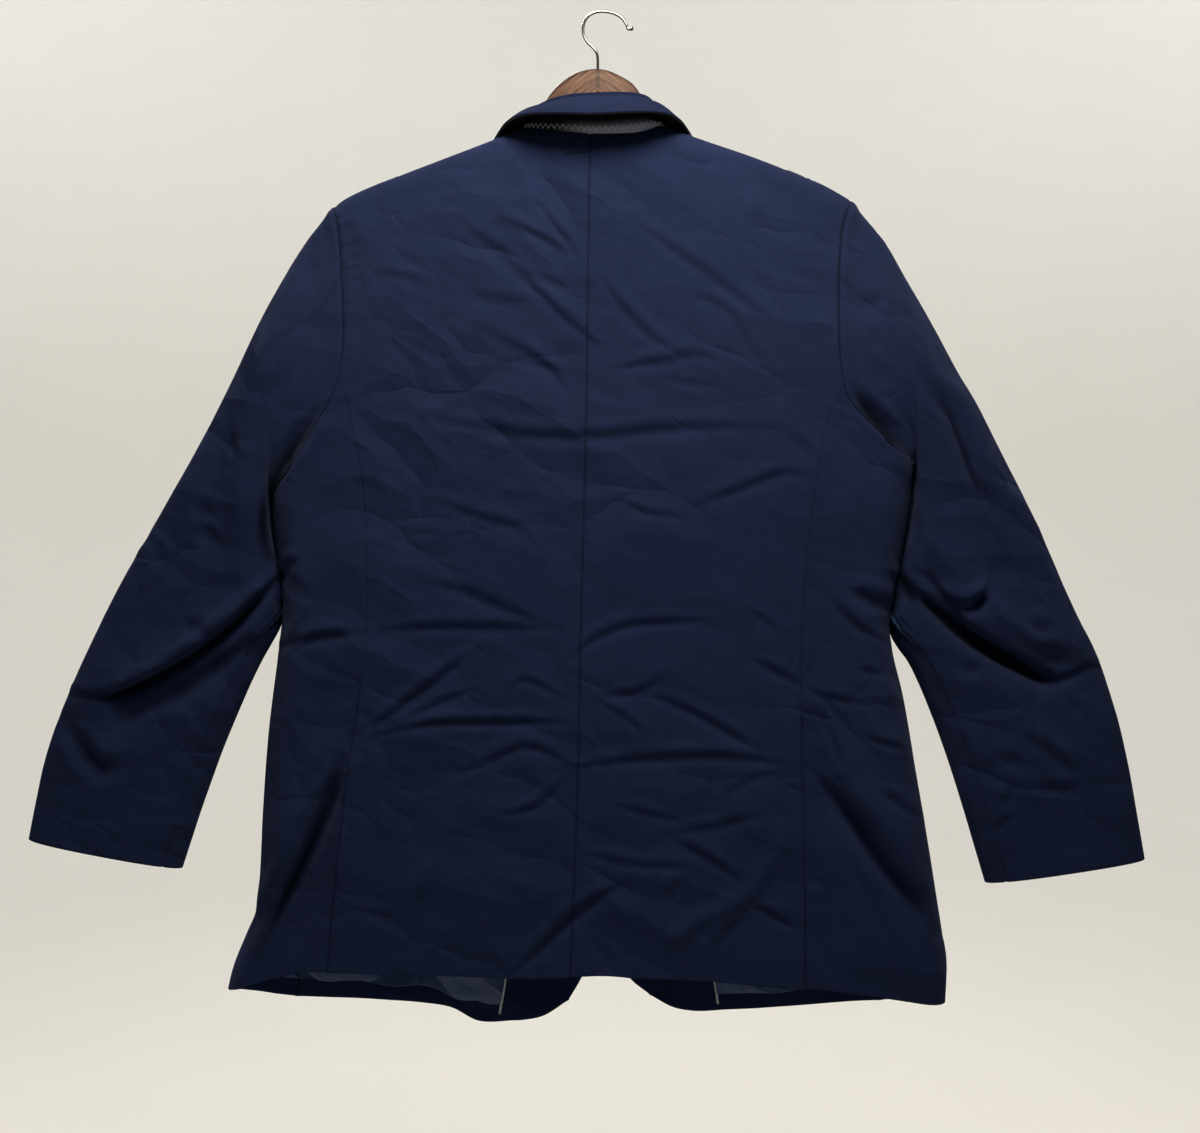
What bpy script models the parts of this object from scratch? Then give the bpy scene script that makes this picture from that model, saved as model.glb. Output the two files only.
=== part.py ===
"""A navy blazer on a wooden hanger, hung with its back towards -Y.

Metres, +Z up. The origin is the inner top of the hook, where a rail bears. +X is the right of a
viewer who looks at the garment's back. "out" is a distance from the plane X = 0 to the named side.
"""
from collections import namedtuple
from math import cos, pi, radians, sin

import bmesh
import bpy
import numpy as np
from mathutils import Vector

NAME = "blazer"

# Cloth
CLOTH = 0.0018
COLLAR_CLOTH = 0.0011
MELTON = 0.0010
LINING = 0.0010
FACING = 0.0015
LAPEL = 0.0022
SEAM = 0.0003
SLEEVE_SEAM = 0.0009
LAYER_GAP = 0.0004
LAPEL_GAP = 0.0009

# The hung body, front to back
SHOULDER_ROUND = 0.018
SHOULDER_DEPTH = 0.014
BACK_FULLNESS = 0.026
BACK_FALL = 0.07
NECK_FULLNESS = 0.010
NECK_WIDTH = 0.07
NECK_FALL = 0.12
FRONT_FULLNESS = 0.022
FRONT_FALL = 0.09
SIDE_ROUND = 0.030
TIP_OUT = 0.2375
ARM_BEND = 0.020
BEND_POWER = 1.5
BEND_FADE = 0.22
BEND_LEFT_BELOW = 0.20
FRONT_LAP = 0.0038
LAP_REACH = 0.05
LAP_FADE = 0.08
LAP_TOP = -0.30
LAP_TOP_FADE = 0.15

SIDES = ("left", "right")
SIGN = {"left": -1.0, "right": 1.0}
CENTRE_TOP_X = -0.013

# The shoulder ridge, from the neck to the shoulder tip
Ridge = namedtuple("Ridge", "out z")
RIDGE = {
    "left": (Ridge(0.0600, -0.1020), Ridge(0.0800, -0.1094), Ridge(0.1016, -0.1174), Ridge(0.1208, -0.1245),
             Ridge(0.1479, -0.1345), Ridge(0.1959, -0.1520), Ridge(0.2434, -0.1694), Ridge(0.2636, -0.1791),
             Ridge(0.3000, -0.1960)),
    "right": (Ridge(0.0400, -0.1030), Ridge(0.0560, -0.1082), Ridge(0.0757, -0.1147), Ridge(0.1074, -0.1252),
              Ridge(0.1346, -0.1340), Ridge(0.1837, -0.1514), Ridge(0.2085, -0.1600), Ridge(0.2375, -0.1742),
              Ridge(0.2800, -0.1950)),
}

# How far out the side of the body lies, by height
Girth = namedtuple("Girth", "z out")
SIDE_OUT = {
    "left": (Girth(-0.150, 0.310), Girth(-0.420, 0.3195), Girth(-0.468, 0.3200), Girth(-0.507, 0.3165),
             Girth(-0.538, 0.3108), Girth(-0.567, 0.3088), Girth(-0.610, 0.3127), Girth(-0.687, 0.3223),
             Girth(-0.764, 0.3290), Girth(-0.841, 0.3339), Girth(-0.8603, 0.3358), Girth(-0.8796, 0.3444),
             Girth(-0.9181, 0.3598), Girth(-0.9354, 0.3637)),
    "right": (Girth(-0.150, 0.295), Girth(-0.400, 0.2965), Girth(-0.4341, 0.2954), Girth(-0.4562, 0.2925),
              Girth(-0.4947, 0.2877), Girth(-0.5399, 0.2800), Girth(-0.5861, 0.2723), Girth(-0.6102, 0.2750),
              Girth(-0.6487, 0.2839), Girth(-0.7256, 0.2964), Girth(-0.8026, 0.3089), Girth(-0.8796, 0.3214),
              Girth(-0.8988, 0.3252), Girth(-0.9469, 0.3252)),
}

# Seams that run down the body
CENTRE_BACK = (Girth(-0.1279, -0.0151), Girth(-0.2359, -0.0169), Girth(-0.3288, -0.0178), Girth(-0.4681, -0.0206),
               Girth(-0.6074, -0.0243), Girth(-0.7466, -0.0271), Girth(-0.9110, -0.0336))
BACK_SEAM = {
    "left": (Girth(-0.3569, 0.2513), Girth(-0.3869, 0.2405), Girth(-0.4148, 0.2358), Girth(-0.4493, 0.2293),
             Girth(-0.5173, 0.2256), Girth(-0.5862, 0.2246), Girth(-0.6542, 0.2312), Girth(-0.7129, 0.2405),
             Girth(-0.7753, 0.2479), Girth(-0.8339, 0.2544), Girth(-0.9091, 0.2611)),
    "right": (Girth(-0.3625, 0.2210), Girth(-0.4055, 0.2057), Girth(-0.4427, 0.1992), Girth(-0.4837, 0.1926),
              Girth(-0.5238, 0.1880), Girth(-0.6011, 0.1833), Girth(-0.6635, 0.1824), Girth(-0.7101, 0.1833),
              Girth(-0.8032, 0.1852), Girth(-0.9249, 0.1858)),
}
FRONT_SEAM = {
    "left": (Girth(-0.4180, 0.2850), Girth(-0.5000, 0.2720), Girth(-0.6000, 0.2650), Girth(-0.7500, 0.2800),
             Girth(-0.9535, 0.3050)),
    "right": (Girth(-0.4000, 0.2560), Girth(-0.4800, 0.2450), Girth(-0.6000, 0.2380), Girth(-0.7500, 0.2500),
              Girth(-0.9570, 0.2700)),
}
VENT_TOP = {"left": -0.682, "right": -0.710}
VENT_UNDERLAP = 0.022
VENT_STEP = 0.0029
VENT_LEAD = 0.030

# The armhole: how far round it (0 at the shoulder tip, 0.5 at the pit, 1 back at the tip), out and z.
# The back part ends and the front part starts at the side body's corners.
Arm = namedtuple("Arm", "around out z")
ARM_BACK_END = 0.35
ARM_PIT = 0.50
ARM_FRONT_START = 0.60
ARMHOLE = {
    "left": (Arm(0.00, 0.2636, -0.1791), Arm(0.05, 0.2569, -0.2050), Arm(0.13, 0.2522, -0.2400),
             Arm(0.21, 0.2485, -0.2800), Arm(0.28, 0.2466, -0.3220), Arm(0.35, 0.2513, -0.3569),
             Arm(0.39, 0.2640, -0.3850), Arm(0.43, 0.2850, -0.4180), Arm(0.47, 0.3060, -0.4500),
             Arm(0.50, 0.3200, -0.4680), Arm(0.54, 0.3060, -0.4490), Arm(0.60, 0.2850, -0.4180),
             Arm(0.67, 0.2640, -0.3830), Arm(0.75, 0.2500, -0.3400), Arm(0.83, 0.2450, -0.2850),
             Arm(0.91, 0.2490, -0.2290), Arm(0.96, 0.2560, -0.1980), Arm(1.00, 0.2636, -0.1791)),
    "right": (Arm(0.00, 0.2375, -0.1742), Arm(0.05, 0.2272, -0.2005), Arm(0.13, 0.2208, -0.2459),
              Arm(0.21, 0.2187, -0.2908), Arm(0.28, 0.2189, -0.3329), Arm(0.35, 0.2225, -0.3625),
              Arm(0.39, 0.2313, -0.3804), Arm(0.43, 0.2538, -0.4019), Arm(0.47, 0.2771, -0.4228),
              Arm(0.50, 0.2954, -0.4341), Arm(0.54, 0.2780, -0.4228), Arm(0.60, 0.2560, -0.4000),
              Arm(0.67, 0.2340, -0.3700), Arm(0.75, 0.2230, -0.3250), Arm(0.83, 0.2195, -0.2750),
              Arm(0.91, 0.2225, -0.2220), Arm(0.96, 0.2290, -0.1950), Arm(1.00, 0.2375, -0.1742)),
}

# Free edges, as out and z
Edge = namedtuple("Edge", "out z")
BACK_NECK = {
    "left": (Edge(0.0151, -0.1279), Edge(0.0311, -0.1252), Edge(0.0520, -0.1205), Edge(0.0690, -0.1140),
             Edge(0.0800, -0.1094)),
    "right": (Edge(-0.0151, -0.1279), Edge(0.0083, -0.1267), Edge(0.0318, -0.1214), Edge(0.0460, -0.1140),
              Edge(0.0560, -0.1082)),
}
BACK_HEM = {
    "left": (Edge(0.0336, -0.9110), Edge(0.0429, -0.9119), Edge(0.1450, -0.9110), Edge(0.2611, -0.9091)),
    "right": (Edge(-0.0336, -0.9110), Edge(0.0007, -0.9101), Edge(0.0314, -0.9129), Edge(0.0936, -0.9156),
              Edge(0.1858, -0.9249)),
}
FRONT_EDGE = {
    "left": (Edge(0.0800, -0.1094), Edge(0.0850, -0.1270), Edge(0.0880, -0.1480), Edge(0.0855, -0.1700),
             Edge(0.0660, -0.2700), Edge(0.0255, -0.4300), Edge(-0.0150, -0.5850), Edge(-0.0140, -0.6600),
             Edge(-0.0100, -0.7200), Edge(-0.0010, -0.8000), Edge(0.0100, -0.8700), Edge(0.0234, -0.9330),
             Edge(0.0370, -0.9570)),
    "right": (Edge(0.0560, -0.1082), Edge(0.0600, -0.1250), Edge(0.0620, -0.1450), Edge(0.0595, -0.1680),
              Edge(0.0435, -0.2700), Edge(0.0085, -0.4300), Edge(-0.0250, -0.5850), Edge(-0.0240, -0.6600),
              Edge(-0.0180, -0.7200), Edge(-0.0040, -0.8000), Edge(0.0100, -0.8700), Edge(0.0237, -0.9331),
              Edge(0.0433, -0.9498)),
}
FRONT_HEM = {
    "left": (Edge(0.0370, -0.9570), Edge(0.0597, -0.9715), Edge(0.1038, -0.9763), Edge(0.1332, -0.9743),
             Edge(0.1479, -0.9650), Edge(0.2018, -0.9576), Edge(0.3050, -0.9535)),
    "right": (Edge(0.0433, -0.9498), Edge(0.0727, -0.9645), Edge(0.1119, -0.9655), Edge(0.1903, -0.9616),
              Edge(0.2491, -0.9576), Edge(0.2700, -0.9570)),
}
# The side body's hem: how far across it from the back seam, and z
SideHem = namedtuple("SideHem", "across z")
SIDE_HEM = {
    "left": (SideHem(0.00, -0.9085), SideHem(0.25, -0.9114), SideHem(0.42, -0.9222), SideHem(0.62, -0.9354),
             SideHem(0.80, -0.9480), SideHem(1.00, -0.9535)),
    "right": (SideHem(0.00, -0.9215), SideHem(0.25, -0.9280), SideHem(0.52, -0.9380), SideHem(0.72, -0.9469),
              SideHem(0.85, -0.9530), SideHem(1.00, -0.9570)),
}

# Lapels, facings and linings, on the fronts
LAPEL_TOP = {
    "left": (Edge(0.0880, -0.1570), Edge(0.1180, -0.1700), Edge(0.1650, -0.2140)),
    "right": (Edge(0.0625, -0.1545), Edge(0.0920, -0.1670), Edge(0.1380, -0.2120)),
}
LAPEL_EDGE = {
    "left": (Edge(0.1650, -0.2140), Edge(0.1500, -0.3000), Edge(0.1080, -0.4300), Edge(0.0470, -0.5300),
             Edge(-0.0100, -0.5830)),
    "right": (Edge(0.1380, -0.2120), Edge(0.1230, -0.3000), Edge(0.0850, -0.4300), Edge(0.0300, -0.5300),
              Edge(-0.0200, -0.5830)),
}
FACING_TOP = -0.600
FACING_INSET = 0.001
FACING_EDGE = {
    "left": (Edge(0.0900, -0.6000), Edge(0.0930, -0.8000), Edge(0.0975, -0.9350), Edge(0.1030, -0.9735)),
    "right": (Edge(0.0860, -0.6000), Edge(0.0950, -0.8000), Edge(0.1045, -0.9345), Edge(0.1085, -0.9635)),
}
PIPING_RADIUS = 0.0012
HEM_TURN = 0.016
LINING_TOP = -0.660
LINING_REACH = 0.004
LINING_DROP = 0.0022
LINING_SIDE_DROP = 0.0050

# Sleeves: rings from the armhole down to the cuff, seen from behind
Ring = namedtuple("Ring", "down outer_out outer_z inner_out inner_z half_depth")
SLEEVE = {
    "left": (Ring(0.00, 0.2636, -0.1791, 0.3200, -0.4680, 0.033), Ring(0.05, 0.2893, -0.2149, 0.3218, -0.4790, 0.034),
             Ring(0.13, 0.3134, -0.2593, 0.3215, -0.4950, 0.034), Ring(0.27, 0.3520, -0.3365, 0.3175, -0.5230, 0.032),
             Ring(0.40, 0.3915, -0.4126, 0.3125, -0.5560, 0.030), Ring(0.52, 0.4301, -0.4801, 0.3160, -0.5880, 0.028),
             Ring(0.64, 0.4706, -0.5515, 0.3360, -0.6280, 0.026), Ring(0.76, 0.5072, -0.6267, 0.3650, -0.6950, 0.024),
             Ring(0.87, 0.5361, -0.6991, 0.3867, -0.7550, 0.021), Ring(1.00, 0.5555, -0.7916, 0.4079, -0.8196, 0.018)),
    "right": (Ring(0.00, 0.2375, -0.1742, 0.2954, -0.4341, 0.033), Ring(0.05, 0.2672, -0.2101, 0.2960, -0.4430, 0.034),
              Ring(0.13, 0.2913, -0.2545, 0.2950, -0.4640, 0.034), Ring(0.27, 0.3308, -0.3307, 0.2903, -0.5020, 0.032),
              Ring(0.40, 0.3732, -0.4088, 0.2810, -0.5560, 0.030), Ring(0.52, 0.4128, -0.4850, 0.2785, -0.5950, 0.028),
              Ring(0.64, 0.4465, -0.5621, 0.2970, -0.6300, 0.026), Ring(0.76, 0.4764, -0.6248, 0.3215, -0.6930, 0.024),
              Ring(0.87, 0.4996, -0.6991, 0.3425, -0.7560, 0.021), Ring(1.00, 0.5198, -0.8109, 0.3655, -0.8331, 0.018)),
}
SLEEVE_MID_Y = 0.008
SLEEVE_SQUARENESS = 0.85
SLEEVE_CLEAR = 0.0035
MITRE_START = 0.55
MITRE_FADE = 0.30
PIT_REACH = 0.032
TIP_REACH = 0.22
REACH_POWER = 1.5
DEPTH_REACH = 0.05

# Sleeve seams, measured round a ring: 0 at the outer edge, 1 at the inner edge, 2 outer again by the front
SleeveSeam = namedtuple("SleeveSeam", "down hind fore")
SLEEVE_SEAMS = (SleeveSeam(0.00, 0.32, 1.25), SleeveSeam(0.15, 0.29, 1.21), SleeveSeam(0.30, 0.30, 1.12),
                SleeveSeam(0.42, 0.33, 1.01), SleeveSeam(0.55, 0.29, 0.92), SleeveSeam(0.66, 0.17, 0.89),
                SleeveSeam(0.78, 0.04, 0.88), SleeveSeam(0.90, 0.008, 0.87), SleeveSeam(1.00, 0.004, 0.87))

# Where the grids have their lines
ARM_STEPS = (0.0, 0.03, 0.08, 0.17, 0.30, 0.45, 0.60, 0.80, 1.0)
HIND_STEP = 5
FORE_STEP = 7
SIDE_COLUMNS = 9
SEAM_ROWS = 19
BACK_COLUMNS = 10
NECK_COLUMNS = 5
FRONT_COLUMNS = 9
SLEEVE_ROWS = (0.0, 0.04, 0.07, 0.12, 0.17, 0.22, 0.27, 0.32, 0.37, 0.42, 0.47, 0.52, 0.57, 0.62, 0.67, 0.72,
               0.77, 0.83, 0.89, 0.95, 1.0)

# The largest folds: each runs through three points and lifts (+) or sinks (-) the cloth
Fold = namedtuple("Fold", "piece start middle end width lift")
FOLDS = (
    Fold("side_left", (-0.2360, -0.690), (-0.2700, -0.790), (-0.3260, -0.925), 0.016, -0.008),
    Fold("side_left", (-0.2700, -0.700), (-0.3050, -0.800), (-0.3560, -0.925), 0.014, 0.006),
    Fold("side_right", (0.1900, -0.720), (0.2500, -0.800), (0.3100, -0.890), 0.016, -0.008),
    Fold("side_right", (0.2300, -0.720), (0.2850, -0.800), (0.3220, -0.860), 0.014, 0.005),
    Fold("sleeve_left", (-0.3250, -0.555), (-0.3950, -0.610), (-0.5000, -0.655), 0.016, 0.006),
    Fold("sleeve_left", (-0.3400, -0.610), (-0.4100, -0.650), (-0.5050, -0.672), 0.014, -0.009),
    Fold("sleeve_left", (-0.2900, -0.215), (-0.3250, -0.370), (-0.3450, -0.530), 0.022, 0.006),
    Fold("sleeve_right", (0.2950, -0.535), (0.3750, -0.610), (0.4600, -0.640), 0.016, -0.009),
    Fold("sleeve_right", (0.3200, -0.520), (0.3900, -0.590), (0.4700, -0.605), 0.014, 0.006),
    Fold("sleeve_right", (0.2950, -0.330), (0.3450, -0.430), (0.4000, -0.510), 0.020, 0.006),
)

# Collar, by station from the left gorge round the back to the right gorge: the roll's rise above the neck
# seam, how far it leans out, and the fall's edge
Collar = namedtuple("Collar", "neck rise lean edge_x edge_y edge_z")
COLLAR = (
    Collar(0.000, 0.0075, 0.0005, -0.1300, 0.0365, -0.1690), Collar(0.077, 0.0072, 0.0005, -0.1240, 0.0330, -0.1480),
    Collar(0.115, 0.0085, 0.0000, -0.1190, 0.0280, -0.1345), Collar(0.154, 0.0092, 0.0000, -0.1130, 0.0190, -0.1225),
    Collar(0.192, 0.0102, 0.0000, -0.1055, 0.0060, -0.1140), Collar(0.231, 0.0130, -0.0010, -0.0960, -0.0160, -0.1095),
    Collar(0.269, 0.0175, -0.0020, -0.0875, -0.0310, -0.1090), Collar(0.308, 0.0240, -0.0030, -0.0785, -0.0420, -0.1095),
    Collar(0.346, 0.0300, -0.0040, -0.0670, -0.0510, -0.1110), Collar(0.400, 0.0360, -0.0055, -0.0500, -0.0590, -0.1130),
    Collar(0.500, 0.0420, -0.0080, -0.0130, -0.0660, -0.1158), Collar(0.600, 0.0410, -0.0065, 0.0255, -0.0605, -0.1125),
    Collar(0.654, 0.0380, -0.0050, 0.0420, -0.0520, -0.1100), Collar(0.692, 0.0335, -0.0040, 0.0530, -0.0435, -0.1080),
    Collar(0.731, 0.0250, -0.0030, 0.0620, -0.0340, -0.1075), Collar(0.769, 0.0150, -0.0010, 0.0700, -0.0220, -0.1080),
    Collar(0.808, 0.0102, 0.0000, 0.0770, -0.0050, -0.1100), Collar(0.846, 0.0092, 0.0000, 0.0840, 0.0130, -0.1145),
    Collar(0.885, 0.0085, 0.0000, 0.0900, 0.0240, -0.1280), Collar(0.923, 0.0072, 0.0005, 0.0950, 0.0300, -0.1430),
    Collar(1.000, 0.0075, 0.0005, 0.1040, 0.0345, -0.1655),
)
COLLAR_COLUMNS = 26
COLLAR_SEAT = 0.0010
COLLAR_FRONT_SEAT = 0.0030
ROLL_RADIUS = 0.0058
FRONT_ROLL_RADIUS = 0.0041
LOW_ROLL = 0.0062
ROLL_GROWTH = 0.35
NECK_CENTRE_Y = 0.015
FALL_BOW = 0.003

# Pockets, on the hidden front
Patch = namedtuple("Patch", "out_in out_away z_in z_away height")
FLAPS = {"left": Patch(0.100, 0.252, -0.712, -0.703, 0.052), "right": Patch(0.088, 0.236, -0.712, -0.703, 0.052)}
WELT = Patch(0.150, 0.234, -0.338, -0.328, 0.024)
PATCH_COLUMNS = 6

# Buttons
FRONT_BUTTON_RADIUS = 0.0100
FRONT_BUTTON_HEIGHTS = (-0.600, -0.700)
FRONT_BUTTON_X = -0.004
CUFF_BUTTON_RADIUS = 0.0072
BUTTON_THICKNESS = 0.0035
CUFF_BUTTONS = 4
CUFF_BUTTON_FIRST = 0.030
CUFF_BUTTON_PITCH = 0.0165
CUFF_BUTTON_INSET = 0.016
CUFF_WIDTH = 0.156

# Hanger: sections along x
Wood = namedtuple("Wood", "x top bottom half_thickness")
HANGER = (
    Wood(-0.2360, -0.1740, -0.1900, 0.0060), Wood(-0.2280, -0.1680, -0.1960, 0.0090),
    Wood(-0.2000, -0.1567, -0.1900, 0.0100), Wood(-0.1500, -0.1385, -0.1740, 0.0095),
    Wood(-0.1220, -0.1281, -0.1640, 0.0085), Wood(-0.1016, -0.1200, -0.1560, 0.0075),
    Wood(-0.0850, -0.1148, -0.1490, 0.0065), Wood(-0.0700, -0.1070, -0.1430, 0.0060),
    Wood(-0.0599, -0.0863, -0.1390, 0.0060),
    Wood(-0.0479, -0.0700, -0.1320, 0.0060), Wood(-0.0300, -0.0570, -0.1250, 0.0060),
    Wood(-0.0079, -0.0527, -0.1200, 0.0060), Wood(0.0127, -0.0590, -0.1230, 0.0060),
    Wood(0.0300, -0.0720, -0.1310, 0.0060), Wood(0.0450, -0.1020, -0.1390, 0.0065),
    Wood(0.0560, -0.1125, -0.1460, 0.0070), Wood(0.0757, -0.1175, -0.1560, 0.0075),
    Wood(0.1000, -0.1258, -0.1640, 0.0085), Wood(0.1350, -0.1372, -0.1730, 0.0095),
    Wood(0.1750, -0.1515, -0.1860, 0.0100), Wood(0.2030, -0.1640, -0.1910, 0.0090),
    Wood(0.2110, -0.1700, -0.1860, 0.0060),
)
HANGER_SIDES = 12
HOOK_RADIUS = 0.00135
HOOK_STEM_TOP = -0.0400
HOOK_PATH = ((-0.0079, -0.0440), (-0.0083, -0.0400), (-0.0098, -0.0358), (-0.0130, -0.0320), (-0.0175, -0.0278),
             (-0.0209, -0.0218), (-0.0220, -0.0151), (-0.0202, -0.0069), (-0.0150, -0.0008), (-0.0075, 0.0019),
             (0.0010, 0.0018), (0.0090, -0.0004), (0.0154, -0.0044), (0.0195, -0.0104), (0.0218, -0.0150),
             (0.0245, -0.0142))
HOOK_POINTS = 40

# Colours, in linear light
NAVY = (0.0105, 0.0160, 0.0430)
LINING_NAVY = (0.0170, 0.0240, 0.0480)
MELTON_GREY = (0.0380, 0.0400, 0.0560)
PIPING_GREY = (0.3300, 0.3400, 0.3700)
BUTTON_NAVY = (0.0080, 0.0090, 0.0150)
WALNUT = (0.2400, 0.1050, 0.0480)
CHROME = (0.7000, 0.7000, 0.7100)


def smooth(t):
    """0 below 0, 1 above 1, and an even rise between."""
    t = np.clip(t, 0.0, 1.0)
    return t * t * (3.0 - 2.0 * t)


def through(knots, values, at):
    """A smooth line through knots and values, carried on straight past its ends."""
    knots = np.asarray(knots, float)
    values = np.asarray(values, float)
    at = np.asarray(at, float)
    slopes = np.gradient(values, knots)
    i = np.clip(np.searchsorted(knots, at, side="right") - 1, 0, len(knots) - 2)
    span = knots[i + 1] - knots[i]
    t = (at - knots[i]) / span
    inside = np.clip(t, 0.0, 1.0)
    a, b = values[i], values[i + 1]
    da, db = slopes[i] * span, slopes[i + 1] * span
    t2, t3 = inside ** 2, inside ** 3
    line = a * (2 * t3 - 3 * t2 + 1) + da * (t3 - 2 * t2 + inside) + b * (3 * t2 - 2 * t3) + db * (t3 - t2)
    return line + (t - inside) * np.where(t < 0, da, db)


def column(rows, name):
    return np.array([getattr(row, name) for row in rows])


def curve(points, fractions):
    """Points at fractions of the length of a smooth curve through points."""
    points = np.asarray(points, float)
    run = np.concatenate([[0.0], np.cumsum(np.linalg.norm(np.diff(points, axis=0), axis=1))])
    at = np.asarray(fractions) * run[-1]
    return np.stack([through(run, points[:, k], at) for k in range(points.shape[1])], axis=-1)


def unit(vectors):
    return vectors / np.maximum(np.linalg.norm(vectors, axis=-1, keepdims=True), 1e-12)


def coons(top, bottom, start, end, across, down):
    """A grid of points inside four edges that share their corners."""
    u = np.asarray(across)[None, :, None]
    v = np.asarray(down)[:, None, None]
    rows = (1 - v) * top[None] + v * bottom[None]
    columns = (1 - u) * start[:, None] + u * end[:, None]
    corners = ((1 - u) * (1 - v) * top[0] + u * (1 - v) * top[-1] + (1 - u) * v * bottom[0] + u * v * bottom[-1])
    return rows + columns - corners


def side_out(side, z):
    return through(-column(SIDE_OUT[side], "z"), column(SIDE_OUT[side], "out"), -np.asarray(z))


def ridge_z(side, out):
    return through(column(RIDGE[side], "out"), column(RIDGE[side], "z"), out)


def seam_out(rows, z):
    return through(-column(rows, "z"), column(rows, "out"), -np.asarray(z))


def layer(side, out, z, face):
    """How far the back (-1) or front (+1) lies from the body's middle, and where that middle is, in y."""
    drop = np.maximum(ridge_z(side, out) - z, 0.0)
    bend = ARM_BEND * (np.abs(out) / TIP_OUT) ** BEND_POWER
    middle = bend * (1 - (1 - BEND_LEFT_BELOW) * smooth(drop / BEND_FADE))
    top = SHOULDER_DEPTH * np.sqrt(1 - (1 - np.minimum(drop / SHOULDER_ROUND, 1.0)) ** 2)
    back = top + BACK_FULLNESS * (1 - np.exp(-drop / BACK_FALL))
    from_neck = (out * SIGN[side] - CENTRE_TOP_X) / NECK_WIDTH
    back = back + NECK_FULLNESS * np.exp(-from_neck ** 2) * np.exp(-drop / NECK_FALL) * smooth(drop / 0.03)
    front = top + FRONT_FULLNESS * (1 - np.exp(-drop / FRONT_FALL))
    return middle, np.where(face < 0, back, front)


def turn_of(side, out, z, face):
    """The distance round the body from its side, for a place on the back (-1) or front (+1)."""
    gap = side_out(side, z) - np.asarray(out)
    turned = SIDE_ROUND * np.arccos(np.clip(1 - gap / SIDE_ROUND, -1, 1))
    flat = SIDE_ROUND * pi / 2 + (gap - SIDE_ROUND)
    return face * np.where(gap < SIDE_ROUND, turned, flat)


def round_body(side, turn, z):
    """The body's surface at a distance round from its side, 0 there, negative on the back."""
    edge = side_out(side, z)
    face = np.where(turn < 0, -1.0, 1.0)
    angle = np.minimum(np.abs(turn) / SIDE_ROUND, pi / 2)
    out = edge - SIDE_ROUND * (1 - np.cos(angle)) - np.maximum(np.abs(turn) - SIDE_ROUND * pi / 2, 0.0)
    middle, depth = layer(side, out, z, face)
    y = middle + face * depth * np.sin(angle)
    return np.stack([SIGN[side] * out, y, z + 0.0 * y], axis=-1)


def flat_body(side, out, z, face):
    """The body's surface straight behind or before a place seen from the back."""
    middle, depth = layer(side, out, z, face)
    return np.stack([SIGN[side] * out, middle + face * depth, z + 0.0 * depth], axis=-1)


def fold_lift(piece, points):
    """How far the named piece's largest folds lift its points."""
    lift = np.zeros(points.shape[:-1])
    for fold in FOLDS:
        if fold.piece != piece:
            continue
        path = curve([fold.start, fold.middle, fold.end], np.linspace(0, 1, 13))
        away = np.full(lift.shape, 1e9)
        along = np.zeros(lift.shape)
        for i, (a, b) in enumerate(zip(path[:-1], path[1:])):
            step = b - a
            t = ((points[..., 0] - a[0]) * step[0] + (points[..., 2] - a[1]) * step[1]) / (step @ step)
            t = np.clip(t, 0, 1)
            gap = np.hypot(points[..., 0] - a[0] - t * step[0], points[..., 2] - a[1] - t * step[1])
            nearer = gap < away
            away = np.where(nearer, gap, away)
            along = np.where(nearer, (i + t) / (len(path) - 1), along)
        ends = smooth(along / 0.25) * smooth((1 - along) / 0.25)
        lift += fold.lift * np.exp(-(away / fold.width) ** 2) * (0.35 + 0.65 * ends)
    return lift


def small_cross(surface, u, v, step):
    along_u = surface(u + step, v) - surface(u - step, v)
    along_v = surface(u, v + step) - surface(u, v - step)
    return unit(np.cross(along_u, along_v))


def normals_of(surface, u, v, place, facing, step=0.0004):
    """Outward normals of a surface given as a function of two arrays; at a known place they face facing."""
    known = small_cross(surface, np.array([place[0]]), np.array([place[1]]), step)[0]
    return small_cross(surface, u, v, step) * np.sign(known @ np.array(facing))


def pit_of(side):
    return [row.z for row in ARMHOLE[side] if row.around == ARM_PIT][0]


def arm_turns(side, around):
    """The armhole's place round the body and its height, by distance round the armhole."""
    rows = ARMHOLE[side]
    faces = np.where(column(rows, "around") <= ARM_PIT, -1.0, 1.0)
    turns = turn_of(side, column(rows, "out"), column(rows, "z"), faces)
    turns[column(rows, "around") == ARM_PIT] = 0.0
    places = column(rows, "around")
    return through(places, turns, around), through(places, column(rows, "z"), around)


def arm_line(side, around):
    turn, z = arm_turns(side, around)
    return round_body(side, turn, z)


def ring_angle(side, around):
    """The sleeve ring's angle for a place round the armhole: 0 at the tip, pi at the pit."""
    around = np.asarray(around, float)
    lap = np.floor(around)
    around = around - lap
    rows = ARMHOLE[side]
    z = through(column(rows, "around"), column(rows, "z"), around)
    tip, pit = rows[0].z, pit_of(side)
    share = np.clip((tip - z) / (tip - pit), 0.0, 1.0)
    angle = np.arccos(1 - 2 * share)
    return np.where(around <= ARM_PIT, angle, 2 * pi - angle) + lap * 2 * pi


def around_of_angle(side, angle):
    samples = np.linspace(0, 1, 801)
    angles = ring_angle(side, samples)
    angles[-1] = 2 * pi
    lap = np.floor(angle / (2 * pi))
    return np.interp(angle - lap * 2 * pi, np.maximum.accumulate(angles), samples)


def seam_angle(measure):
    """A ring angle from a measure that is 0 at the outer edge, 1 at the inner edge and 2 outer again."""
    measure = np.asarray(measure, float)
    back = np.arccos(np.clip(1 - 2 * measure, -1, 1))
    front = 2 * pi - np.arccos(np.clip(1 - 2 * (2 - measure), -1, 1))
    return np.where(measure <= 1, back, front)


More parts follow.
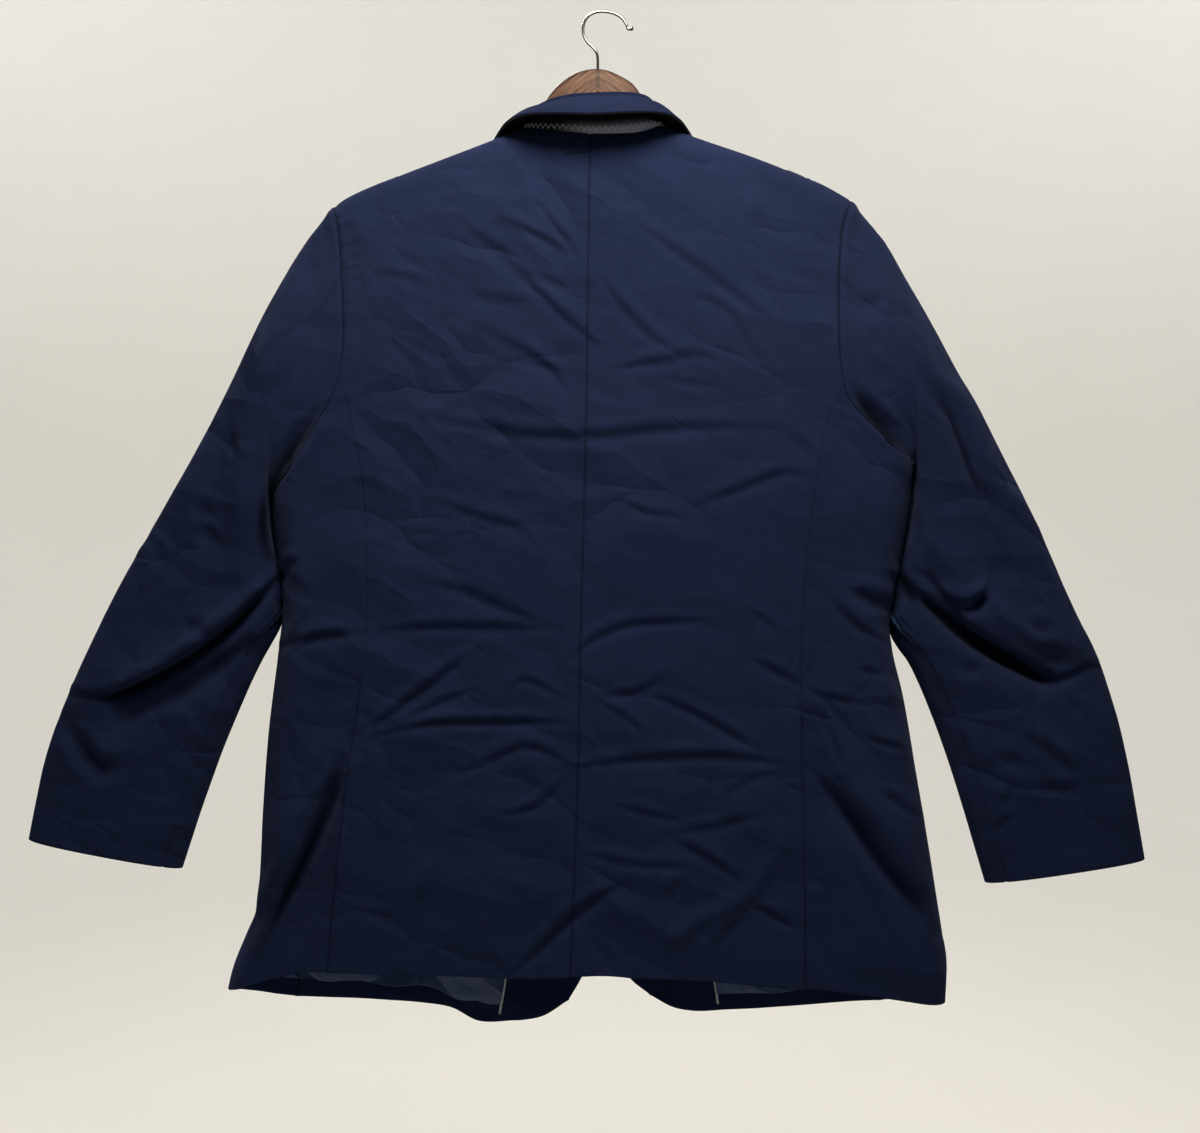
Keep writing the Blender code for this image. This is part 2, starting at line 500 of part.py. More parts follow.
def plain_ring(side, angle, down):
    rows = SLEEVE[side]
    at = column(rows, "down")
    outer_out = through(at, column(rows, "outer_out"), down)
    outer_z = through(at, column(rows, "outer_z"), down)
    inner_out = through(at, column(rows, "inner_out"), down)
    inner_z = through(at, column(rows, "inner_z"), down)
    depth = through(at, column(rows, "half_depth"), down)
    c, s = np.cos(angle), np.sin(angle)
    c = np.sign(c) * np.abs(c) ** SLEEVE_SQUARENESS
    s = np.sign(s) * np.abs(s) ** SLEEVE_SQUARENESS
    out = (outer_out + inner_out) / 2 + c * (outer_out - inner_out) / 2
    z = (outer_z + inner_z) / 2 + c * (outer_z - inner_z) / 2
    return out, SLEEVE_MID_Y - depth * s, z


def bare_sleeve(side, angle, down):
    """The sleeve without folds: rings that grow out of the armhole's own line."""
    out, y, z = plain_ring(side, angle, down)
    first = plain_ring(side, angle, 0.0 * down)
    arm = arm_line(side, around_of_angle(side, angle))
    reach = PIT_REACH + TIP_REACH * ((1 + np.cos(angle)) / 2) ** REACH_POWER
    fade = 1 - smooth(down / reach)
    out = out + fade * (arm[..., 0] * SIGN[side] - first[0])
    slow_fade = 1 - smooth(down / np.maximum(reach, DEPTH_REACH))
    y = y + slow_fade * (arm[..., 1] - first[1])
    z = z + fade * (arm[..., 2] - first[2])
    back_rows_of_arm = [row for row in ARMHOLE[side] if row.around <= ARM_PIT]
    front_rows_of_arm = [row for row in ARMHOLE[side] if row.around >= ARM_PIT][::-1]
    pit_z = back_rows_of_arm[-1].z
    back_line = np.interp(-z, -column(back_rows_of_arm, "z"), column(back_rows_of_arm, "out"))
    front_line = np.interp(-z, -column(front_rows_of_arm, "z"), column(front_rows_of_arm, "out"))
    above = np.where(y < SLEEVE_MID_Y, back_line, front_line)
    edge = side_out(side, z)
    face = np.where(y < SLEEVE_MID_Y, -1.0, 1.0)
    middle, depth = layer(side, edge - SIDE_ROUND / 3, z, face)
    inside = np.clip(np.abs(y - middle) / np.maximum(depth, CLOTH), 0.0, 1.0)
    round_edge = edge - SIDE_ROUND * (1 - np.sqrt(1 - inside ** 2))
    below = round_edge + SLEEVE_CLEAR * smooth((pit_z - z) / 0.012)
    limit = np.where(z > pit_z, above, below)
    limit = np.where((z < back_rows_of_arm[0].z) & (down > 0.001), limit, -1.0)
    return np.stack([SIGN[side] * np.maximum(out, limit), y, z], axis=-1)


def sleeve(side, angle, down):
    """The sleeve's outer surface."""
    points = bare_sleeve(side, angle, down)
    behind = smooth(np.sin(angle) / 0.35)
    lift = fold_lift("sleeve_" + side, points) * behind * smooth(down / 0.06) * smooth((1 - down) / 0.06)
    points[..., 1] -= lift
    return points


def sleeve_normals(side, angle, down):
    def surface(a, d):
        return sleeve(side, a, d)
    return normals_of(surface, angle, down, (pi / 2, 0.9), (0, -1, 0), 0.004)


def body_normals(side, turn, z):
    def surface(t, h):
        return round_body(side, t, h)
    return normals_of(surface, turn, z, (0.001, -0.6), (SIGN[side], 0, 0))


def arm_edge(side, around):
    """The armhole's line with the shared normals and the direction from body to sleeve."""
    around = np.asarray(around, float)
    turn, z = arm_turns(side, around)
    points = round_body(side, turn, z)
    step = 0.002
    tangent = unit(arm_line(side, np.clip(around + step, 0, 1)) - arm_line(side, np.clip(around - step, 0, 1)))
    from_body = body_normals(side, np.where(np.abs(turn) < 1e-4, 1e-4, turn), z)
    at_tip = (around < 0.001) | (around > 0.999)
    tangent[at_tip] = (0.0, -1.0, 0.0)
    ridge = ridge_normal(side, points[..., 0] * SIGN[side])
    from_body = np.where(at_tip[..., None], ridge, from_body)
    fore_and_aft = from_body[..., 1]
    towards_pit = np.stack([0.0 * fore_and_aft, fore_and_aft, -np.sqrt(1 - fore_and_aft ** 2)], axis=-1)
    share = (ARMHOLE[side][0].z - z) / (ARMHOLE[side][0].z - pit_of(side))
    low = smooth((share - MITRE_START) / MITRE_FADE)[..., None]
    middle = unit(from_body * (1 - low) + towards_pit * low)
    middle = unit(middle - tangent * np.sum(middle * tangent, axis=-1, keepdims=True))
    across = -SIGN[side] * np.cross(tangent, middle)
    return points, middle, unit(across)


def ridge_normal(side, out):
    step = 0.002
    slope = (ridge_z(side, out + step) - ridge_z(side, out - step)) / (2 * step)
    return unit(np.stack([-SIGN[side] * slope, 0.0 * slope, 1.0 + 0.0 * slope], axis=-1))


def part_edge(points, normals, edge, rows=slice(None), gap=SEAM):
    """Move one edge of a grid half a seam gap back into its own piece."""
    take = {"top": (0, slice(None)), "bottom": (-1, slice(None)), "start": (slice(None), 0), "end": (slice(None), -1)}
    beside = {"top": (1, slice(None)), "bottom": (-2, slice(None)), "start": (slice(None), 1), "end": (slice(None), -2)}
    line = points[take[edge]]
    tangent = unit(np.gradient(line, axis=0))
    away = unit(np.cross(tangent, normals[take[edge]]))
    away = away * np.sign(np.sum(away * (points[beside[edge]] - line)))
    moved = line.copy()
    moved[rows] += away[rows] * gap / 2
    points[take[edge]] = moved


def wall(name, points, normals, thickness, material):
    """A closed wall: a grid of outer points, and the same grid set back along its normals."""
    rows, columns = points.shape[:2]
    inner = points - normals * thickness
    vertices = np.concatenate([points.reshape(-1, 3), inner.reshape(-1, 3)])
    size = rows * columns

    def at(i, j, depth=0):
        return depth * size + i * columns + j

    faces = []
    for i in range(rows - 1):
        for j in range(columns - 1):
            faces.append((at(i, j), at(i + 1, j), at(i + 1, j + 1), at(i, j + 1)))
            faces.append((at(i, j, 1), at(i, j + 1, 1), at(i + 1, j + 1, 1), at(i + 1, j, 1)))
    for j in range(columns - 1):
        faces.append((at(0, j), at(0, j + 1), at(0, j + 1, 1), at(0, j, 1)))
        faces.append((at(rows - 1, j + 1), at(rows - 1, j), at(rows - 1, j, 1), at(rows - 1, j + 1, 1)))
    for i in range(rows - 1):
        faces.append((at(i + 1, 0), at(i, 0), at(i, 0, 1), at(i + 1, 0, 1)))
        faces.append((at(i, columns - 1), at(i + 1, columns - 1), at(i + 1, columns - 1, 1), at(i, columns - 1, 1)))
    return solid(name, vertices, faces, material)


def solid(name, vertices, faces, material):
    mesh = bpy.data.meshes.new(name)
    mesh.from_pydata([tuple(v) for v in vertices], [], faces)
    form = bmesh.new()
    form.from_mesh(mesh)
    bmesh.ops.recalc_face_normals(form, faces=form.faces)
    form.to_mesh(mesh)
    form.free()
    mesh.shade_smooth()
    mesh.set_sharp_from_angle(angle=radians(40))
    mesh.materials.append(material)
    piece = bpy.data.objects.new(name, mesh)
    garment.objects.link(piece)
    return piece


def finish(name, colour, roughness, metallic=0.0, sheen=0.0):
    material = bpy.data.materials.new(name)
    material.use_nodes = True
    shader = material.node_tree.nodes["Principled BSDF"]
    shader.inputs["Base Color"].default_value = (*colour, 1.0)
    shader.inputs["Roughness"].default_value = roughness
    shader.inputs["Metallic"].default_value = metallic
    shader.inputs["Sheen Weight"].default_value = sheen
    return material


def back_rows(side):
    """Fractions round the armhole, then heights down the back side seam."""
    arm = np.array(ARM_STEPS) * ARM_BACK_END
    seam = BACK_SEAM[side]
    corner = arm_line(side, np.array([ARM_BACK_END]))[0, 2]
    heights = np.linspace(corner, seam[-1].z, SEAM_ROWS + 1)[1:]
    return arm, heights


def build_back(side):
    arm, heights = back_rows(side)
    arm_points = arm_line(side, arm)
    outer = np.concatenate([
        np.stack([arm_points[:, 0] * SIGN[side], arm_points[:, 2]], axis=-1),
        np.stack([seam_out(BACK_SEAM[side], heights), heights], axis=-1),
    ])
    down = np.concatenate([[0.0], np.cumsum(np.linalg.norm(np.diff(outer, axis=0), axis=1))])
    down /= down[-1]
    centre_z = CENTRE_BACK[0].z + (CENTRE_BACK[-1].z - CENTRE_BACK[0].z) * down
    centre = np.stack([SIGN[side] * seam_out(CENTRE_BACK, centre_z), centre_z], axis=-1)
    neck = curve(BACK_NECK[side], np.linspace(0, 1, NECK_COLUMNS + 1))
    shoulder_out = np.linspace(neck[-1, 0], outer[0, 0], BACK_COLUMNS - NECK_COLUMNS + 1)[1:]
    shoulder = np.stack([shoulder_out, ridge_z(side, shoulder_out)], axis=-1)
    shoulder[-1] = outer[0]
    top = np.concatenate([neck, shoulder])
    top[0] = centre[0]
    across = np.concatenate([[0.0], np.cumsum(np.linalg.norm(np.diff(top, axis=0), axis=1))])
    across /= across[-1]
    hem = curve(BACK_HEM[side], across)
    hem[0], hem[-1] = centre[-1], outer[-1]
    grid = coons(top, hem, centre, outer, across, down)
    out, z = grid[..., 0], grid[..., 1]
    out[:, 0], z[:, 0] = centre[:, 0], centre[:, 1]

    def surface(o, h):
        return flat_body(side, o, h, -1.0)

    points = surface(out, z)
    normals = normals_of(surface, out, z, (0.1, -0.5), (0, -1, 0))
    on_ridge = slice(NECK_COLUMNS, None)
    normals[0, on_ridge] = ridge_normal(side, out[0, on_ridge])
    arm_count = len(arm)
    edge_points, edge_normals, sleeveward = arm_edge(side, arm)
    points[:arm_count, -1] = edge_points
    normals[:arm_count, -1] = edge_normals
    seam_turn = turn_of(side, outer[arm_count:, 0], outer[arm_count:, 1], -1.0)
    normals[arm_count:, -1] = body_normals(side, seam_turn, outer[arm_count:, 1])
    part_edge(points, normals, "start")
    part_edge(points, normals, "end", slice(arm_count - 1, None))
    points[0, on_ridge, 1] -= SEAM / 2
    points[:arm_count, -1] -= sleeveward * SEAM / 2
    return wall("back_" + side, points, normals, CLOTH, navy)


def side_grid(side):
    """The side body's grid, as turns round the body and heights."""
    _, heights = back_rows(side)
    arm = np.linspace(ARM_BACK_END, ARM_FRONT_START, SIDE_COLUMNS + 1)
    top = np.stack(arm_turns(side, arm), axis=-1)
    seam_z = np.concatenate([[top[0, 1]], heights])
    seam_z[-1] = SIDE_HEM[side][0].z
    share = (seam_z - seam_z[0]) / (seam_z[-1] - seam_z[0])
    start_turn = turn_of(side, seam_out(BACK_SEAM[side], seam_z), seam_z, -1.0)
    start_turn[0] = top[0, 0]
    under = VENT_UNDERLAP * smooth((VENT_TOP[side] - seam_z) / 0.012)
    start = np.stack([start_turn - under, seam_z], axis=-1)
    front_z = top[-1, 1] + (FRONT_SEAM[side][-1].z - top[-1, 1]) * share
    front_turn = turn_of(side, seam_out(FRONT_SEAM[side], front_z), front_z, 1.0)
    front_turn[0] = top[-1, 0]
    end = np.stack([front_turn, front_z], axis=-1)
    across = np.linspace(0, 1, SIDE_COLUMNS + 1)
    hem_turn = start[-1, 0] + (end[-1, 0] - start[-1, 0]) * across
    hem_z = through(column(SIDE_HEM[side], "across"), column(SIDE_HEM[side], "z"), across)
    hem = np.stack([hem_turn, hem_z], axis=-1)
    hem[0], hem[-1] = start[-1], end[-1]
    return coons(top, hem, start, end, across, share), arm


def side_surface(side, turn, z):
    """The side body's outer surface: it steps in under the back at the vent, and holds its folds."""
    points = round_body(side, turn, z)
    seam = turn_of(side, seam_out(BACK_SEAM[side], z), z, -1.0)
    beside = 1 - smooth((turn - seam - 0.012) / 0.05)
    lead = smooth((VENT_TOP[side] + 2 * VENT_LEAD - z) / VENT_LEAD)
    behind = smooth((-turn - 0.02) / SIDE_ROUND)
    clear = smooth((turn - seam) / 0.015)
    lift = fold_lift("side_" + side, points) * behind * clear
    points[..., 1] += VENT_STEP * beside * lead - lift
    return points


def build_side(side):
    grid, arm = side_grid(side)
    turn, z = grid[..., 0], grid[..., 1]

    def surface(t, h):
        return side_surface(side, t, h)

    points = surface(turn, z)
    normals = normals_of(surface, turn, z, (0.001, -0.6), (SIGN[side], 0, 0))
    edge_points, edge_normals, sleeveward = arm_edge(side, arm)
    points[0] = edge_points
    normals[0] = edge_normals
    above_vent = z[:, 0] > VENT_TOP[side]
    seam_rows = int(above_vent.sum())
    part_edge(points, normals, "start", slice(0, seam_rows))
    part_edge(points, normals, "end")
    points[0] -= sleeveward * SEAM / 2
    return wall("side_" + side, points, normals, CLOTH, navy)


def front_lap(side, out):
    """The wearer's left front lies over the right one where they cross."""
    over = 1 - smooth((np.abs(out) - LAP_REACH) / LAP_FADE)
    return -SIGN[side] * FRONT_LAP * over


def front_surface(side, out, z):
    points = flat_body(side, out, z, 1.0)
    fade = smooth((LAP_TOP - z) / LAP_TOP_FADE)
    points[..., 1] += front_lap(side, out) * fade
    return points


def front_normals(side, out, z):
    def surface(o, h):
        return front_surface(side, o, h)
    return normals_of(surface, out, z, (0.1, -0.5), (0, 1, 0))


def front_edge(side, z):
    rows = FRONT_EDGE[side]
    return through(-column(rows, "z"), column(rows, "out"), -np.asarray(z))


def build_front(side):
    arm = 1.0 - np.array(ARM_STEPS) * (1.0 - ARM_FRONT_START)
    arm_points = arm_line(side, arm)
    seam = side_grid(side)[0][1:, -1, 1]
    outer = np.concatenate([
        np.stack([arm_points[:, 0] * SIGN[side], arm_points[:, 2]], axis=-1),
        np.stack([seam_out(FRONT_SEAM[side], seam), seam], axis=-1),
    ])
    down = np.concatenate([[0.0], np.cumsum(np.linalg.norm(np.diff(outer, axis=0), axis=1))])
    down /= down[-1]
    inner = curve(FRONT_EDGE[side], down)
    top_out = np.linspace(inner[0, 0], outer[0, 0], FRONT_COLUMNS + 1)
    top = np.stack([top_out, ridge_z(side, top_out)], axis=-1)
    top[0], top[-1] = inner[0], outer[0]
    across = np.linspace(0, 1, FRONT_COLUMNS + 1)
    hem = curve(FRONT_HEM[side], across)
    hem[0], hem[-1] = inner[-1], outer[-1]
    grid = coons(top, hem, inner, outer, across, down)
    out, z = grid[..., 0], grid[..., 1]
    points = front_surface(side, out, z)
    normals = front_normals(side, out, z)
    normals[0] = ridge_normal(side, out[0])
    arm_count = len(arm)
    edge_points, edge_normals, sleeveward = arm_edge(side, arm)
    points[:arm_count, -1] = edge_points
    normals[:arm_count, -1] = edge_normals
    seam_turn = turn_of(side, outer[arm_count:, 0], outer[arm_count:, 1], 1.0)
    normals[arm_count:, -1] = body_normals(side, seam_turn, outer[arm_count:, 1])
    part_edge(points, normals, "end", slice(arm_count - 1, None))
    points[0, :, 1] += SEAM / 2
    points[:arm_count, -1] -= sleeveward * SEAM / 2
    return wall("front_" + side, points, normals, CLOTH, navy)


def lay_on_front(name, side, grid, lift, thickness, material):
    """A wall whose underside lies lift above a front's outer face, made from the front's own points."""
    points = front_surface(side, grid[..., 0], grid[..., 1])
    normals = front_normals(side, grid[..., 0], grid[..., 1])
    return wall(name, points + normals * (lift + thickness), normals, thickness, material)


def lay_inside_front(name, side, grid, drop, thickness, material):
    """A wall whose outer side lies drop inside a front's outer face."""
    points = front_surface(side, grid[..., 0], grid[..., 1])
    normals = front_normals(side, grid[..., 0], grid[..., 1])
    return wall(name, points - normals * drop, normals, thickness, material)


def build_lapel(side):
    down = np.linspace(0, 1, 15)
    across = np.linspace(0, 1, 4)
    top = curve(LAPEL_TOP[side], across)
    roll_z = top[0, 1] + (LAPEL_EDGE[side][-1].z - top[0, 1]) * down
    roll = np.stack([front_edge(side, roll_z) + 0.0005, roll_z], axis=-1)
    edge = curve(LAPEL_EDGE[side], down)
    bottom = roll[-1] + (edge[-1] - roll[-1]) * across[:, None]
    roll[0] = top[0]
    grid = coons(top, bottom, roll, edge, across, down)
    return lay_on_front("lapel_" + side, side, grid, LAPEL_GAP, LAPEL, navy)


def build_facing(side):
    down = np.linspace(0, 1, 15)
    across = np.linspace(0, 1, 4)
    rows = [row for row in FRONT_EDGE[side] if row.z < FACING_TOP]
    first = Edge(float(front_edge(side, FACING_TOP)), FACING_TOP)
    edge = curve([first, *rows], down) + np.array([FACING_INSET, 0.0])
    rim = curve(FACING_EDGE[side], down)
    hem_rows = FRONT_HEM[side]
    hem_out = edge[-1, 0] + (rim[-1, 0] - edge[-1, 0]) * across
    hem_z = through(column(hem_rows, "out"), column(hem_rows, "z"), hem_out) + FACING_INSET
    hem = np.stack([hem_out, hem_z], axis=-1)
    edge[-1], rim[-1] = hem[0], hem[-1]
    top = edge[0] + (rim[0] - edge[0]) * across[:, None]
    grid = coons(top, hem, edge, rim, across, down)
    return lay_inside_front("facing_" + side, side, grid, CLOTH + LAYER_GAP, FACING, navy)


def piping_line(side, fractions):
    """The line just past the facing's edge, inside the front."""
    rim = curve(FACING_EDGE[side], fractions)
    rim[:, 0] += PIPING_RADIUS + SEAM
    keep_up = 0.004 * smooth((np.asarray(fractions) - 0.9) / 0.1)
    rim[:, 1] += keep_up
    points = front_surface(side, rim[:, 0], rim[:, 1])
    normals = front_normals(side, rim[:, 0], rim[:, 1])
    return points - normals * (CLOTH + LAYER_GAP + PIPING_RADIUS)


def build_piping(side):
    line = piping_line(side, np.linspace(0, 1, 16))
    return tube("piping_" + side, line, PIPING_RADIUS, 1, piping_grey)


def build_lining(side):
    """The lining's lower part: from the piping round past the side, up from the turned hem."""
    down = np.linspace(0, 1, 10)
    across = np.linspace(0, 1, 9)
    rows = FACING_EDGE[side]
    room = 2 * PIPING_RADIUS + 2 * SEAM
    bottom_z = rows[-1].z + HEM_TURN
    start_z = LINING_TOP + (bottom_z - LINING_TOP) * down
    start_out = through(-column(rows, "z"), column(rows, "out"), -start_z) + room
    start = np.stack([turn_of(side, start_out, start_z, 1.0), start_z], axis=-1)
    hem = SIDE_HEM[side]
    side_z = hem[-3].z + HEM_TURN
    end_z = LINING_TOP + (side_z - LINING_TOP) * down
    end = np.stack([np.full(end_z.shape, -LINING_REACH), end_z], axis=-1)
    top = start[0] + (end[0] - start[0]) * across[:, None]
    bottom_turn = start[-1, 0] + (end[-1, 0] - start[-1, 0]) * across
    place = round_body(side, bottom_turn, np.full(across.shape, bottom_z))[:, 0] * SIGN[side]
    front_hem = through(column(FRONT_HEM[side], "out"), column(FRONT_HEM[side], "z"), place) + HEM_TURN
    towards_side = smooth((across - 0.55) / 0.45)
    bottom = np.stack([bottom_turn, front_hem * (1 - towards_side) + side_z * towards_side], axis=-1)
    bottom[0], bottom[-1] = start[-1], end[-1]
    grid = coons(top, bottom, start, end, across, down)
    turn, z = grid[..., 0], grid[..., 1]

    def surface(t, h):
        points = round_body(side, t, h)
        fade = smooth((LAP_TOP - h) / LAP_TOP_FADE)
        points[..., 1] += front_lap(side, points[..., 0] * SIGN[side]) * fade * (t > 0)
        return points

    points = surface(turn, z)
    normals = normals_of(surface, turn, z, (0.001, -0.7), (SIGN[side], 0, 0))
    round_side = 1 - smooth((turn - SIDE_ROUND) / SIDE_ROUND)
    drop = CLOTH + LINING_DROP + (LINING_SIDE_DROP - LINING_DROP) * round_side
    return wall("lining_" + side, points - normals * drop[..., None], normals, LINING, satin)


def tube(name, line, radius, fineness, material):
    """A round wire or cord along a line of points, with closed ends."""
    path = bpy.data.curves.new(name, "CURVE")
    path.dimensions = "3D"
    path.bevel_depth = radius
    path.bevel_resolution = fineness
    path.use_fill_caps = True
    spline = path.splines.new("POLY")
    spline.points.add(len(line) - 1)
    for point, place in zip(spline.points, line):
        point.co = (*place, 1.0)
    path.materials.append(material)
    piece = bpy.data.objects.new(name, path)
    garment.objects.link(piece)
    return piece


def neck_line(stations):
    """The neck seam from the left gorge round the back to the right gorge, with the body's normals."""
    reach = {}
    for side in SIDES:
        before = FRONT_EDGE[side][2::-1]
        front = front_surface(side, column(before, "out"), column(before, "z"))
        behind = BACK_NECK[side][::-1][1:]
        back = flat_body(side, column(behind, "out"), column(behind, "z"), -1.0)
        reach[side] = np.concatenate([front, back])
    left, right = reach["left"], reach["right"][::-1][1:]
    return curve(np.concatenate([left, right]), stations)


def collar_grid():
    """The collar's outer face: up the inside of the stand, over the roll and down the fall."""
    stations = np.linspace(0, 1, COLLAR_COLUMNS + 1)
    at = column(COLLAR, "neck")

    def line(prefix):
        return np.stack([through(at, column(COLLAR, prefix + "_" + axis), stations) for axis in "xyz"], axis=-1)

    edge = line("edge")
    rise = through(at, column(COLLAR, "rise"), stations)[:, None]
    lean = through(at, column(COLLAR, "lean"), stations)[:, None]
    neck = neck_line(stations)
    outwards = neck - np.array([CENTRE_TOP_X, NECK_CENTRE_Y, 0.0])
    outwards[:, 2] = 0.0
    in_front = smooth((np.abs(stations - 0.5) - 0.18) / 0.28)[:, None]
    towards_middle = np.sign(CENTRE_TOP_X - neck[:, :1]) * np.array([[1.0, 0.0, 0.0]])
    stack = unit(unit(outwards) * (1 - in_front) + np.array([[0.0, 1.0, 0.0]]) * in_front)
    apex = unit(np.array([[0.0, 0.0, 1.0]]) * (1 - in_front) + towards_middle * in_front)
    half = np.minimum(ROLL_RADIUS, FRONT_ROLL_RADIUS + (rise - LOW_ROLL) * ROLL_GROWTH)
    roll = neck + stack * (half - COLLAR_CLOTH + lean) + apex * (rise + COLLAR_SEAT)
    seat = COLLAR_SEAT + (COLLAR_FRONT_SEAT - COLLAR_SEAT) * in_front
    seam = neck - stack * (COLLAR_CLOTH - 0.0001) + apex * seat
    stand_top = roll - stack * half - apex * half
    fall_top = roll + stack * half - apex * half
    apex_in = roll - stack * half * 0.6 - apex * half * 0.25
    apex_out = roll + stack * half * 0.6 - apex * half * 0.25
    fall_middle = (fall_top + edge) / 2 + (stack * 0.5 + np.array([[0.0, 0.0, 1.0]]) * (1 - in_front)) * FALL_BOW
    rows = [seam, (seam + stand_top) / 2, stand_top, apex_in, apex_out, fall_top, fall_middle, edge]
    return np.stack(rows)


def grid_normals(points):
    along = np.gradient(points, axis=1)
    down = np.gradient(points, axis=0)
    return unit(np.cross(along, down))


def build_collar():
    points = collar_grid()
    normals = grid_normals(points)
    apex_row = 4
    normals = normals * np.sign(normals[apex_row, COLLAR_COLUMNS // 2, 2])
    wall("collar", points, normals, COLLAR_CLOTH, navy)
    under = points - normals * (COLLAR_CLOTH + SEAM)
    return wall("undercollar", under, normals, MELTON, melton)


def sleeve_columns(side, kind, down):
    """Ring angles of a sleeve piece's columns at each row, from seam to seam."""
    back = np.array(ARM_STEPS) * ARM_BACK_END
    across = np.linspace(ARM_BACK_END, ARM_FRONT_START, SIDE_COLUMNS + 1)
    front = (1.0 - np.array(ARM_STEPS) * (1.0 - ARM_FRONT_START))[::-1]
    if kind == "under":
        around = np.concatenate([back[HIND_STEP:], across[1:], front[1:2]])
    else:
        around = np.concatenate([front[1:], 1.0 + back[1:HIND_STEP + 1]])
    first = ring_angle(side, around)
    if kind == "top":
        first[len(front) - 2] = 2 * pi
    hind = seam_angle(through(column(SLEEVE_SEAMS, "down"), column(SLEEVE_SEAMS, "hind"), down))
    fore = seam_angle(through(column(SLEEVE_SEAMS, "down"), column(SLEEVE_SEAMS, "fore"), down))
    begin, last = (hind, fore) if kind == "under" else (fore, hind + 2 * pi)
    first_share = (first - first[0]) / (first[-1] - first[0])
    even_share = np.linspace(0, 1, len(first))
    settle = smooth(down / 0.3)[:, None]
    share = first_share[None] * (1 - settle) + even_share[None] * settle
    into = smooth(down / 0.05)[:, None]
    begin = first[0] * (1 - into) + begin[:, None] * into
    last = first[-1] * (1 - into) + last[:, None] * into
    return begin + (last - begin) * share, around


def sleeve_grid(side):
    """Both sleeve pieces' points and normals, from one closed set of rings."""
    down = np.array(SLEEVE_ROWS)
    under, under_around = sleeve_columns(side, "under", down)
    top, top_around = sleeve_columns(side, "top", down)
    angle = np.concatenate([under[:, :-1], top[:, :-1]], axis=1)
    around = np.concatenate([under_around[:-1], top_around[:-1]])
    rows = np.repeat(down[:, None], angle.shape[1], axis=1)
    points = sleeve(side, angle, rows)
    edge_points, edge_normals, sleeveward = arm_edge(side, np.where(around > 1.0, around - 1.0, around))
    points[0] = edge_points
    along = np.roll(points, -1, axis=1) - np.roll(points, 1, axis=1)
    normals = unit(np.cross(along, np.gradient(points, axis=0)))
    normals = normals * -np.sign(normals[-2, 1, 1])
    normals[0] = edge_normals
    points[0] += sleeveward * SEAM / 2
    last = under.shape[1] - 1
    under_columns = np.arange(0, last + 1)
    top_columns = np.arange(last, angle.shape[1] + 1) % angle.shape[1]
    return {kind: (points[:, columns], normals[:, columns]) for kind, columns in
            (("under", under_columns), ("top", top_columns))}


def build_sleeve(side, kind):
    points, normals = sleeve_grid(side)[kind]
    for edge in ("start", "end"):
        part_edge(points, normals, edge, slice(0, 1))
        part_edge(points, normals, edge, slice(1, None), SLEEVE_SEAM)
    return wall("sleeve_" + kind + "_" + side, points, normals, CLOTH, navy)


def build_flap(name, side, patch):
    across = np.linspace(0, 1, PATCH_COLUMNS + 1)
    down = np.linspace(0, 1, 3)
    out = patch.out_in + (patch.out_away - patch.out_in) * across[None, :] + 0.0 * down[:, None]
    z = patch.z_in + (patch.z_away - patch.z_in) * across[None, :] - patch.height * down[:, None]
    return lay_on_front(name, side, np.stack([out, z], axis=-1), LAYER_GAP, CLOTH, navy)


def button(name, place, normal, radius, sides):
    """A flat round button that faces along normal, its back at place."""
    form = bmesh.new()
    bmesh.ops.create_cone(form, cap_ends=True, segments=sides, radius1=radius * 0.86, radius2=radius,
                          depth=BUTTON_THICKNESS)
    mesh = bpy.data.meshes.new(name)
    form.to_mesh(mesh)
    form.free()
    mesh.shade_smooth()
    mesh.set_sharp_from_angle(angle=radians(40))
    mesh.materials.append(horn)
    piece = bpy.data.objects.new(name, mesh)
    normal = Vector(normal).normalized()
    piece.rotation_mode = "QUATERNION"
    piece.rotation_quaternion = normal.to_track_quat("Z", "Y")
    piece.location = Vector(place) + normal * (BUTTON_THICKNESS / 2 + LAYER_GAP)
    garment.objects.link(piece)
    return piece


def build_buttons():
    for number, z in enumerate(FRONT_BUTTON_HEIGHTS, 1):
        out = np.array([-FRONT_BUTTON_X])
        place = front_surface("left", out, np.array([z]))[0]
        normal = front_normals("left", out, np.array([z]))[0]
        button("button_front_%d" % number, place, normal, FRONT_BUTTON_RADIUS, 14)
    for side in SIDES:
        rows = SLEEVE[side]
        length = np.hypot(rows[-1].outer_out - rows[0].outer_out, rows[-1].outer_z - rows[0].outer_z)
        for number in range(CUFF_BUTTONS):
            down = 1 - (CUFF_BUTTON_FIRST + CUFF_BUTTON_PITCH * number) / length
            across = 2.0 - CUFF_BUTTON_INSET / CUFF_WIDTH
            angle = seam_angle(np.array([across]))
            place = sleeve(side, angle, np.array([down]))[0]
            normal = sleeve_normals(side, angle, np.array([down]))[0]
            button("button_cuff_%s_%d" % (side, number + 1), place, normal, CUFF_BUTTON_RADIUS, 10)


